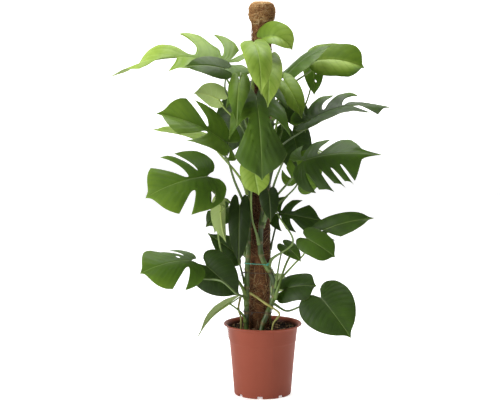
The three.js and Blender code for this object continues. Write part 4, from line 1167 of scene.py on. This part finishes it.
def pot_profile():
    """The pot's radii and heights: its underside, then its outside up to the lip, then its inside."""
    shoulder = POT_SHOULDER
    inner_foot = POT_FOOT_RADIUS - POT_WALL

    def inside(z):
        """The radius of the pot's inside at a height."""
        return pot_wall(z) - POT_WALL

    under = rounded(
        [
            (0, 0), (POT_PAD_RADIUS, 0), (POT_PAD_RADIUS + 2, POT_FLOOR_HEIGHT),
            (inner_foot - 3, POT_FLOOR_HEIGHT), (inner_foot - 1, 0),
        ],
        radius=1.5,
    )
    wall = rounded(
        [
            (POT_FOOT_RADIUS - 0.6, 0), (POT_FOOT_RADIUS, 1), (pot_wall(8) + 0.5, 8), (pot_wall(10), 10),
            (pot_wall(shoulder / 2), shoulder / 2), (POT_SHOULDER_RADIUS, shoulder - 2),
            (POT_SHOULDER_RADIUS + 1.1, shoulder), (pot_wall(shoulder + 15) + 0.8, shoulder + 15),
            (POT_BAND_RADIUS, POT_HEIGHT - 14), (POT_BAND_RADIUS + 2, POT_HEIGHT - 8),
            (POT_LIP_RADIUS - 3, POT_HEIGHT - 5.5), (POT_LIP_RADIUS, POT_HEIGHT - 3.5),
            (POT_LIP_RADIUS - 0.5, POT_HEIGHT - 1), (POT_LIP_RADIUS - 3, POT_HEIGHT),
            (POT_BAND_RADIUS + 3, POT_HEIGHT - 3.5), (POT_BAND_RADIUS - POT_WALL, POT_HEIGHT - 12),
            (inside(shoulder + 15) + 0.6, shoulder + 15), (inside(shoulder), shoulder),
            (inside(POT_FLOOR_HEIGHT + 6), POT_FLOOR_HEIGHT + 6),
            (inside(POT_FLOOR_HEIGHT) - 4, POT_FLOOR_HEIGHT + POT_WALL), (0, POT_FLOOR_HEIGHT + POT_WALL),
        ],
        radius=1.8,
    )
    return np.concatenate([under, wall])


def make_pot():
    """The pot: a turned shape with notches in its foot and two fine mould lines down its outside."""
    profile = pot_profile()
    radii, heights = profile.T
    notches = math.radians(FOOT_NOTCH_START) + turns(FOOT_COUNT)
    # In radians: half a notch, the steep side of a notch, and half a mould line
    half, step, line_half = FOOT_NOTCH_WIDTH / 2 / POT_FOOT_RADIUS, 0.0006, 0.006
    sides = [notches + shift for shift in (-half - step, -half, half, half + step)]
    mould_lines = np.radians(MOULD_LINE_ANGLES)
    lines = [mould_lines + shift for shift in (-line_half, 0, line_half)]
    angles = np.concatenate([turns(fine(POT_COLUMNS)), *sides, *lines]) % (2 * np.pi)
    angles = np.unique(np.round(angles, 5))
    points = turned(profile, angles)
    open_here = turn_between(angles[:, None], notches).min(axis=1) <= half + step / 2
    foot = (radii > POT_FOOT_RADIUS - POT_WALL - 3) & (heights < FOOT_NOTCH_HEIGHT)
    points[np.ix_(foot, open_here, [2])] = FOOT_NOTCH_HEIGHT
    on_line = turn_between(angles[:, None], mould_lines).min(axis=1) < 1e-3
    inner = np.arange(len(profile)) > heights.argmax()
    raised = np.ix_(~inner & (heights > 12) & (heights < POT_HEIGHT - 12), on_line)
    points[raised] += MOULD_LINE_HEIGHT * unit(points[raised] * (1, 1, 0))
    shape = Shape()
    quads = grid_faces(len(profile), len(angles), wrap=True)
    # Painted shade over the whole inside of the pot, from just under the lip down.
    dust = inner * smooth((POT_HEIGHT - 5 - heights) / 7)
    shape.add(points, quads[:, ::-1], dust=np.repeat(dust, len(angles)))
    add_tab(shape)
    return shape.make("pot_body", [pot_look()])


def add_tab(shape):
    """The raised tab on the left of the band, under the lip, with soft edges."""
    foot = pot_wall(POT_SHOULDER + 4)
    face = POT_BAND_RADIUS + TAB_STANDOFF
    outline = rounded(
        [
            (foot - 1, POT_SHOULDER + 4), (foot + TAB_STANDOFF, POT_SHOULDER + 7),
            (face, POT_HEIGHT - 12), (face, POT_HEIGHT - 7), (POT_BAND_RADIUS, POT_HEIGHT - 8),
        ],
        radius=1.5, steps=4,
    )
    radii, heights = outline.T
    rows = []
    for across, sink in ((-0.5, 1.6), (-0.47, 0.5), (-0.42, 0), (0.42, 0), (0.47, 0.5), (0.5, 1.6)):
        rows.append(np.stack([sink - radii, np.full(len(radii), across * TAB_WIDTH), heights], axis=1))
    shape.add(np.concatenate(rows), grid_faces(len(rows), len(radii)), dust=0)


def make_soil(look):
    """The crust of the soil: an uneven disc with a skirt that the pot hides."""
    rng = np.random.default_rng(4)
    reach = pot_wall(SOIL_LEVEL) - POT_WALL - 0.8
    radii = np.concatenate([np.linspace(0.5, reach, fine(SOIL_ROWS)), [reach, reach - 4]])
    heights = np.full(len(radii), SOIL_LEVEL, float)
    heights[-2:] = SOIL_LEVEL - 6, SOIL_LEVEL - 40
    angles = turns(fine(SOIL_COLUMNS))
    points = turned(np.stack([radii, heights], axis=1), angles)
    crust = points[:-2]
    crust[..., 2] += 1.5 * lumps(crust[..., :2], 45, 1) + 1.0 * lumps(crust[..., :2], 14, 2)
    crust[..., 2] += 0.7 * lumps(crust[..., :2], 5, 3) + rng.normal(0, 0.45, crust.shape[:2])
    crust[0] = crust[0].mean(axis=0)
    shape = Shape()
    shade = 0.12 + 0.05 * lumps(points[..., :2], 20, 9) + rng.normal(0, 0.05, points.shape[:2])
    bottom = len(points) * len(angles)
    points = np.concatenate([points.reshape(-1, 3), [[0, 0, SOIL_LEVEL - 40.0]]])
    last = np.arange(len(angles)) + bottom - len(angles)
    quads = grid_faces(len(radii), len(angles), wrap=True)[:, ::-1]
    shape.add(points, quads, fan_faces(last, bottom, flip=True), shade=np.append(shade.ravel(), 0))
    return shape.make("soil_crust", [look])


def stones(centres, sizes, squash, seed):
    """Rough closed crumbs at the centres: each a small ball pushed in and out at random."""
    rng = np.random.default_rng(seed)
    golden = (1 + 5**0.5) / 2
    ball = unit([(s, t * golden, 0) for s in (-1, 1) for t in (-1, 1)])
    ball = np.concatenate([np.roll(ball, shift, axis=1) for shift in range(3)])
    near = np.linalg.norm(ball[:, None] - ball[None], axis=-1) < 1.1
    faces = [f for f in combinations(range(12), 3) if near[np.ix_(f, f)].all()]
    faces = np.array([f if np.linalg.det(ball[list(f)]) > 0 else f[::-1] for f in faces])
    count = len(centres)
    rough = ball[None] * rng.uniform(0.65, 1.25, (count, 12, 1))
    turn, _ = np.linalg.qr(rng.normal(size=(count, 3, 3)))
    turn *= np.sign(np.linalg.det(turn))[:, None, None]
    stretch = np.stack([np.ones(count), rng.uniform(0.6, 1, count), squash], axis=1)
    points = np.einsum("nij,nkj->nki", turn, rough * stretch[:, None]) * sizes[:, None, None]
    points = points + centres[:, None]
    return points.reshape(-1, 3), (faces[None] + 12 * np.arange(count)[:, None, None]).reshape(-1, 3)


def make_crumbs(look):
    """Loose crumbs of soil, chips of bark, a few pale stones and bits of dry root on the crust."""
    rng = np.random.default_rng(12)
    shape = Shape()
    reach = pot_wall(SOIL_LEVEL) - 8

    def spots(count):
        """Random places on the crust."""
        angle = rng.uniform(0, 2 * np.pi, count)
        radius = reach * np.sqrt(rng.uniform(0, 1, count))
        return radius[:, None] * circling(angle, (1, 0, 0), (0, 1, 0)) + UP * (SOIL_LEVEL + 1)

    # Each group's count, smallest and largest size, flatness, and darkest and lightest shade
    groups = (
        (fine(2600), 1.0, 2.8, 0.7, (0.02, 0.3)),
        (fine(420), 2.5, 5.0, 0.6, (0.05, 0.45)),
        (150, 4.0, 8.5, 0.28, (0.42, 0.78)),
        (60, 1.2, 2.6, 0.8, (0.85, 1.0)),
    )
    for seed, (count, small, large, flat, shades) in enumerate(groups):
        sizes = rng.uniform(small, large, count)
        centres = spots(count)
        centres[:, 2] += rng.uniform(-0.3, 0.5, count) * sizes
        points, faces = stones(centres, sizes, rng.uniform(0.6, 1.2, count) * flat, 30 + seed)
        shape.add(points, faces, shaded=False, shade=np.repeat(rng.uniform(*shades, count), 12))
    count = 70
    middle = spots(count)
    middle[:, 2] += 2.5
    angle = rng.uniform(0, np.pi, count)
    way = np.stack([np.cos(angle), np.sin(angle), rng.uniform(-0.1, 0.2, count)], axis=1)
    bow = np.cross(way, UP) * rng.uniform(-4, 4, count)[:, None]
    s = np.linspace(-1, 1, STRAND_STEPS)[:, None]
    length = rng.uniform(5, 16, count)
    paths = middle[:, None] + way[:, None] * length[:, None, None] * s + bow[:, None] * (1 - s**2)
    shade = np.repeat(rng.uniform(0.5, 0.85, count), STRAND_SIDES * STRAND_STEPS)
    shape.add(*strands(paths, np.full((count, STRAND_STEPS), 0.6), UP), shade=shade)
    return shape.make("soil_crumbs", [look])


def make_pole(look):
    """The sleeve of matted fibre: a lumpy core that the strands lie on."""
    length = pole_frame()[-1]
    shape = Shape()
    rows = fine(COIR_ROWS)
    along, angle = np.meshgrid(np.linspace(0, length, rows), turns(COIR_COLUMNS), indexing="ij")
    radius = coir_radius(along, length) - 1.5
    spot = on_pole(along, angle, radius)
    radius = radius + 1.0 * lumps(spot, 22, 5) + 0.6 * lumps(spot, 8, 6)
    points = on_pole(along, angle, radius)
    ends = np.stack([points[0].mean(axis=0), points[-1].mean(axis=0)])
    count = rows * COIR_COLUMNS
    shade = 0.3 + 0.1 * lumps(points, 30, 8) + 0.35 * smooth((along - length + KNOB_HEIGHT) / 20)
    ring = np.arange(COIR_COLUMNS)
    shape.add(
        np.concatenate([points.reshape(-1, 3), ends]),
        grid_faces(rows, COIR_COLUMNS, wrap=True),
        fan_faces(ring, count, flip=True),
        fan_faces(ring + count - COIR_COLUMNS, count + 1),
        shade=np.append(shade.ravel(), (0.3, 0.6)),
        dark=np.append(pole_dark(along).ravel(), (0.5, 0)),
    )
    return shape.make("coir_sleeve", [look])


def pole_dark(along):
    """How dark the fibre is: nearly black from about 430 mm to 1000 mm along the pole, lighter below that
    and at the knob.
    """
    heights = (0, 140, 260, 340, 430, 700, 1000, 1060)
    shares = (0.5, 0.4, 0.15, 0.25, 0.7, 0.75, 0.6, 0.0)
    return np.interp(along, heights, shares)


def make_fibres(name, look, count, low, high, thick, seed, loose):
    """Strands of coir that lie criss-cross on the sleeve between two distances along it.

    thick holds the thinnest and the thickest radius, and loose how far the ends stand off.
    """
    rng = np.random.default_rng(seed)
    length = pole_frame()[-1]
    shape = Shape()
    count = fine(count)
    s = np.linspace(-0.5, 0.5, STRAND_STEPS)
    span = rng.uniform(14, 46, count)
    slope = rng.normal(0, 0.9, count)
    along = rng.uniform(low, high, count)[:, None] + span[:, None] * np.sin(slope)[:, None] * s
    along += rng.normal(0, 1.2, (count, STRAND_STEPS))
    along = np.clip(along, 0, length - 1)
    radius = coir_radius(along, length) + rng.uniform(-0.9, 1.1, (count, 1))
    angle = rng.uniform(0, 2 * np.pi, (count, 1)) + span[:, None] * np.cos(slope)[:, None] * s / radius
    lift = rng.exponential(loose, (count, 2)) * (rng.uniform(size=(count, 2)) < 0.3)
    radius = radius + lift[:, :1] * np.clip(-2 * s, 0, 1) ** 2 + lift[:, 1:] * np.clip(2 * s, 0, 1) ** 2
    paths = on_pole(along, angle, radius)
    outward = paths - on_pole(along, angle, radius * 0)
    radii = rng.uniform(*thick, (count, 1)) * (1 - 0.6 * np.abs(2 * s) ** 3)
    shade = np.clip(rng.normal(0.58, 0.2, count), 0.05, 1)
    dark = pole_dark(along.mean(axis=1)) * rng.uniform(0.5, 1.1, count)
    shade, dark = np.repeat([shade, dark], STRAND_SIDES * STRAND_STEPS, axis=1)
    shape.add(*strands(paths, radii, outward), shade=shade, dark=dark)
    return shape.make(name, [look])


def make_knob_cap(look):
    """The tuft on top of the knob: strands that cross over its flat end."""
    rng = np.random.default_rng(21)
    foot, axis, side, front, length = pole_frame()
    count, steps = fine(420), 9
    s = np.linspace(-1, 1, steps)
    angle = rng.uniform(0, np.pi, count)
    offset = rng.uniform(-KNOB_RADIUS * 0.9, KNOB_RADIUS * 0.9, count)
    half = np.sqrt(KNOB_RADIUS**2 - offset**2) * rng.uniform(0.5, 1, count)
    along_way = circling(angle, side, front)
    across_way = circling(angle, -front, side)
    flat = along_way[:, None] * (half[:, None] * s)[..., None] + (across_way * offset[:, None])[:, None]
    flat = flat + across_way[:, None] * (rng.uniform(-6, 6, (count, 1)) * (1 - s**2))[..., None]
    out = np.linalg.norm(flat, axis=-1)
    rise = np.interp(out, (0, *KNOB_EDGE_RADII[::-1], KNOB_RADIUS), (1, 0.5, -6, -18))
    paths = foot + axis * length + flat + axis * (rise + rng.uniform(-0.5, 1.5, (count, 1)))[..., None]
    radii = rng.uniform(0.3, 0.8, (count, 1)) * np.ones(steps)
    shade = np.repeat(np.clip(rng.normal(0.74, 0.18, count), 0.2, 1), STRAND_SIDES * steps)
    shape = Shape()
    shape.add(*strands(paths, radii, axis), shade=shade, dark=0)
    return shape.make("coir_knob_tuft", [look])


def make_stake():
    """The round stake in the middle of the pole, down into the soil."""
    foot, axis, _, _, length = pole_frame()
    ends = foot - axis * STAKE_FOOT_LENGTH, foot + axis * (length - STAKE_TOP_SETBACK)
    shape = Shape()
    shape.add(*tube([ends[0], foot, ends[1]], STAKE_RADIUS, 24))
    return shape.make("pole_stake_body", [plain_look("stake", paint(176, 142, 98), 0.8)])


def make_stem(name, look):
    """A climbing stem: green, a little thicker at each joint, with a tan scar ring under it."""
    path = evenly(through(STEM_ROUTES[name], 400), fine(STEM_STEPS))
    heights = path[:, 2]
    rng = np.random.default_rng(len(name))
    radii = np.full(len(path), STEM_RADIUS - 0.9)
    scar = np.zeros(len(path))
    for joint in STEM_JOINTS[name]:
        gap = heights - joint
        radii += JOINT_SWELLING * np.exp(-((gap / 7) ** 2)) - SCAR_DEPTH * np.exp(-((gap + 5) ** 2) / 4)
        scar = np.maximum(scar, np.exp(-(((gap + 4) / 4.5) ** 2)) * rng.uniform(0.5, 1))
    radii *= 1 - 0.35 * smooth((np.linspace(0, 1, len(path)) - 0.85) / 0.15)
    points, quads, caps = tube(path, radii, STEM_SIDES)
    out = unit(points[:-2] - np.repeat(path, STEM_SIDES, axis=0))
    points[:-2] += 0.35 * lumps(points[:-2], 9, 3)[:, None] * out
    tone = np.append(np.repeat(0.1 + 0.16 * lumps(path, 70, 6), STEM_SIDES), (0.4, 0.4))
    scar = 0.7 * np.append(np.repeat(scar, STEM_SIDES), (0, 0))
    shape = Shape()
    shape.add(points, quads, caps, tone=tone, scar=scar)
    return shape.make("stem_" + name + "_body", [look])


def make_root(name, look):
    """An aerial root: a cord that tapers, with slight swellings."""
    path = evenly(through(ROOT_ROUTES[name], 300), 90)
    share = np.linspace(0, 1, len(path))
    radii = ROOT_RADIUS * (1.05 - 0.35 * share) + 0.3 * np.sin(40 * share) * np.sin(17 * share)
    shape = Shape()
    shape.add(*tube(path, radii, 14))
    return shape.make("root_" + name + "_body", [look])


def tie_loop(height, slack):
    """The way of a wire round the pole and the stems at a height."""
    foot, axis, _, _, _ = pole_frame()
    pole = foot + axis * (height - foot[2]) / axis[2]
    posts = [(pole[0], pole[1], COIR_FOOT_RADIUS + 1)]
    posts += [(*stem_point(name, height)[:2], STEM_RADIUS) for name in STEM_ROUTES]
    x, y, radius = np.array(posts).T

    def reach(a):
        """How far out the wire would be if it touched its posts on the side that faces an angle."""
        return (circling(a, x, y) + radius + TIE_RADIUS + slack).max(axis=1)

    a = turns(36)
    turn = np.pi / 36
    across = (reach(a + turn) - reach(a - turn)) / (2 * turn)
    points = circling(a, (1, 0, 0), (0, 1, 0)) * reach(a)[:, None]
    points += circling(a, (0, 1, 0), (-1, 0, 0)) * across[:, None]
    points[:, 2] = height + 1.5 * np.sin(2 * a)
    return through(points, 160, power=0.25, closed=True)


def make_tie(name, look):
    """A wire pulled round the pole, with its two ends twisted together at the front."""
    height, slack, target, rise = TIES[name]
    path = tie_loop(height, slack)
    shape = Shape()
    shape.add(*tube(np.concatenate([path, path[:2]]), TIE_RADIUS, 8))
    knot = path[np.argmin(np.linalg.norm(path[:, :2] - target, axis=1))]
    out = unit([*unit(target - knot[:2]), 0])
    s = np.linspace(0, 1, 60)[:, None]
    spread = 1.0 + 3.5 * smooth((s - 0.75) / 0.25)
    for start in (0, np.pi):
        twist = circling(start + 4 * np.pi * s[:, 0], np.cross(out, UP), UP)
        way = knot + out * 15 * s + twist * spread + UP * 12 * rise * s**2
        shape.add(*tube(way, TIE_RADIUS * 0.85, 7))
    return shape.make(name + "_wire", [look])


def make_leaf(number, leaf, looks):
    """A blade with its midrib and its stalk."""
    blade = Blade(leaf, number)
    shape = Shape()
    add_blade(shape, blade)
    add_midrib(shape, blade)
    add_stalk(shape, blade)
    return shape.make(f"foliage_{number + 1:02d}", looks)


# Operators, panel and stage


class PlantSettings(bpy.types.PropertyGroup):
    """Choices for the looks of the plant. Its sizes stay those of the solids."""

    fibres: bpy.props.IntProperty(
        name="Coir strands", description="How many strands lie on the pole",
        default=3400, min=100, max=8000,
    )
    knob_fibres: bpy.props.IntProperty(
        name="Knob strands", description="How many strands lie on the knob",
        default=900, min=50, max=3000,
    )


class StageSettings(bpy.types.PropertyGroup):
    """The camera and the lights of the picture."""

    camera_distance: bpy.props.FloatProperty(
        name="Camera distance", description="From the pole to the camera", default=4.74,
        subtype="DISTANCE", unit="LENGTH",
    )
    camera_height: bpy.props.FloatProperty(
        name="Camera height", description="Above the floor", default=1.18,
        subtype="DISTANCE", unit="LENGTH",
    )
    camera_shift: bpy.props.FloatProperty(
        name="Camera shift", description="To the right of the pole's foot", default=-0.039,
        subtype="DISTANCE", unit="LENGTH",
    )
    camera_dip: bpy.props.FloatProperty(
        name="Camera dip", description="How far the camera looks down", default=math.radians(6.99),
        subtype="ANGLE", unit="ROTATION",
    )
    lens: bpy.props.FloatProperty(name="Lens", description="Focal length in millimetres", default=113.04)
    key_power: bpy.props.FloatProperty(
        name="Key light", description="Power of the light at the left", default=185, subtype="POWER",
    )
    top_power: bpy.props.FloatProperty(
        name="Top light", description="Power of the light overhead", default=150, subtype="POWER",
    )
    fill: bpy.props.FloatProperty(
        name="Surround", description="Brightness of the white surround", default=0.15, min=0, max=2,
    )


class PlantPart:
    """What the plant's operators share."""

    bl_options = {"REGISTER", "UNDO"}


class PLANT_OT_pot(PlantPart, bpy.types.Operator):
    """Build the nursery pot with its feet, lip and tab"""

    bl_idname = "plant.pot"
    bl_label = "Build the pot"

    def execute(self, context):
        declare(make_pot(), ["pot"])
        return {"FINISHED"}


class PLANT_OT_soil(PlantPart, bpy.types.Operator):
    """Build the crust of the soil and the crumbs and chips on it"""

    bl_idname = "plant.soil"
    bl_label = "Build the soil"

    def execute(self, context):
        look = soil_look()
        declare(make_soil(look), ["soil"])
        declare(make_crumbs(look), ["soil"])
        return {"FINISHED"}


class PLANT_OT_pole(PlantPart, bpy.types.Operator):
    """Build the stake, the coir sleeve and its loose strands"""

    bl_idname = "plant.pole"
    bl_label = "Build the pole"

    def execute(self, context):
        plant = context.scene.plant
        length = pole_frame()[-1]
        knob = length - KNOB_HEIGHT
        look = coir_look()
        declare(make_stake(), ["pole_stake"])
        sleeve = make_fibres(
            "coir_fibres", look, plant.fibres, low=100, high=knob + 10,
            thick=(0.28, 0.62), seed=5, loose=2.2,
        )
        tuft = make_fibres(
            "coir_knob_fibres", look, plant.knob_fibres, low=knob - 4, high=length - 8,
            thick=(0.35, 0.85), seed=6, loose=1.6,
        )
        for thing in (make_pole(look), sleeve, tuft, make_knob_cap(look)):
            declare(thing, ["pole_coir"])
        return {"FINISHED"}


class PLANT_OT_stems(PlantPart, bpy.types.Operator):
    """Build the three climbing stems and the aerial roots"""

    bl_idname = "plant.stems"
    bl_label = "Build the stems"

    def execute(self, context):
        look = stem_look()
        for name in STEM_ROUTES:
            declare(make_stem(name, look), ["stem_" + name])
        look = root_look()
        for name in ROOT_ROUTES:
            declare(make_root(name, look), ["root_" + name])
        return {"FINISHED"}


class PLANT_OT_ties(PlantPart, bpy.types.Operator):
    """Build the wires that hold the stems to the pole"""

    bl_idname = "plant.ties"
    bl_label = "Build the ties"

    def execute(self, context):
        brown = plain_look("brown_wire", paint(64, 52, 40), 0.55)
        green = plain_look("green_wire", paint(54, 150, 128), 0.4)
        declare(make_tie("tie_low", brown), ["tie_low"])
        declare(make_tie("tie_middle", brown), ["tie_middle"])
        declare(make_tie("tie_green", green), ["tie_green"])
        return {"FINISHED"}


class PLANT_OT_leaves(PlantPart, bpy.types.Operator):
    """Build every leaf with its stalk, veins and cuts"""

    bl_idname = "plant.leaves"
    bl_label = "Build the leaves"

    def execute(self, context):
        looks = [leaf_look(), stalk_look()]
        for number, leaf in enumerate(LEAVES):
            declare(make_leaf(number, leaf, looks), [f"leaf_{number + 1:02d}"])
        return {"FINISHED"}


class PLANT_OT_stage(PlantPart, bpy.types.Operator):
    """Set the white floor, the surround, the lights and the camera"""

    bl_idname = "plant.stage"
    bl_label = "Set the stage"

    def execute(self, context):
        stage = context.scene.plant_stage
        set_surround(context.scene, stage.fill)
        set_floor()
        add_light("key", KEY_PLACE, target=(0, 0, 0.7), size=2.4, power=stage.key_power)
        add_light("top", TOP_PLACE, target=(0, 0, 0.8), size=2.2, power=stage.top_power)
        set_camera(context.scene, stage)
        context.scene.view_settings.view_transform = "Standard"
        return {"FINISHED"}


class PLANT_PT_panel(bpy.types.Panel):
    """The sidebar panel of the plant"""

    bl_label = "Swiss cheese plant"
    bl_space_type = "VIEW_3D"
    bl_region_type = "UI"
    bl_category = "Plant"

    def draw(self, context):
        layout = self.layout
        for operator in STEPS:
            layout.operator(operator.bl_idname)
        for settings in (context.scene.plant, context.scene.plant_stage):
            for name in settings.__annotations__:
                layout.prop(settings, name)


def set_surround(scene, strength):
    """White light from all sides."""
    world = bpy.data.worlds.new("surround")
    world.use_nodes = True
    sky = world.node_tree.nodes["Background"]
    sky.inputs["Color"].default_value = (1, 1, 1, 1)
    sky.inputs["Strength"].default_value = strength
    scene.world = world


def set_floor():
    """A large white floor, and a white wall far behind, both bright enough to read as white."""
    half, back, top = FLOOR_HALF, FLOOR_BACK, WALL_HEIGHT
    floor = [(-half, -half, 0), (half, -half, 0), (half, back, 0), (-half, back, 0)]
    wall = [(-half, back, 0), (half, back, 0), (half, back, top), (-half, back, top)]
    for name, corners, glow in (("studio_floor", floor, FLOOR_GLOW), ("studio_wall", wall, WALL_GLOW)):
        look = Look(name + "_white", 1, specular=0)
        look.set("Base Color", (0.9, 0.9, 0.9))
        look.set("Emission Color", (1, 1, 1))
        look.set("Emission Strength", glow)
        shape = Shape()
        shape.add(corners, [[0, 1, 2, 3]], shaded=False)
        shape.make(name, [look.material])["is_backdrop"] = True


def add_light(name, place, target, size, power):
    """A square light at a place, turned to its target."""
    light = bpy.data.lights.new(name, "AREA")
    light.size = size
    light.energy = power
    thing = bpy.data.objects.new(name, light)
    thing.location = place
    aim = np.array(target, float) - np.array(place, float)
    thing.rotation_euler = (math.acos(-unit(aim)[2]), 0, math.atan2(-aim[0], aim[1]))
    bpy.context.scene.collection.objects.link(thing)
    thing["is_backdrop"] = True


def set_camera(scene, stage):
    """The camera in front of the plant, level from side to side."""
    camera = bpy.data.cameras.new("camera")
    camera.lens = stage.lens
    camera.sensor_width = SENSOR_WIDTH
    camera.dof.use_dof = False
    thing = bpy.data.objects.new("camera", camera)
    thing.location = (stage.camera_shift, -stage.camera_distance, stage.camera_height)
    thing.rotation_euler = (math.pi / 2 - stage.camera_dip, 0, 0)
    scene.collection.objects.link(thing)
    scene.camera = thing


STEPS = (
    PLANT_OT_pot, PLANT_OT_soil, PLANT_OT_pole, PLANT_OT_stems, PLANT_OT_ties, PLANT_OT_leaves,
    PLANT_OT_stage,
)
CLASSES = (PlantSettings, StageSettings, *STEPS, PLANT_PT_panel)


def register():
    for cls in CLASSES:
        bpy.utils.register_class(cls)
    bpy.types.Scene.plant = bpy.props.PointerProperty(type=PlantSettings)
    bpy.types.Scene.plant_stage = bpy.props.PointerProperty(type=StageSettings)


def unregister():
    del bpy.types.Scene.plant_stage
    del bpy.types.Scene.plant
    for cls in reversed(CLASSES):
        bpy.utils.unregister_class(cls)


def write_sizes():
    """Works out the corners of the solids' box and of the finished plant's box, in metres."""
    boxes = {"cad": CAD_BOX, "scene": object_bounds()}
    sizes = {name: [list(corner) for corner in box] for name, box in boxes.items()}


def main():
    register()
    bpy.ops.plant.pot()
    bpy.ops.plant.soil()
    bpy.ops.plant.pole()
    bpy.ops.plant.stems()
    bpy.ops.plant.ties()
    bpy.ops.plant.leaves()
    bpy.ops.plant.stage()
    write_sizes()


if __name__ == "__main__":
    main()
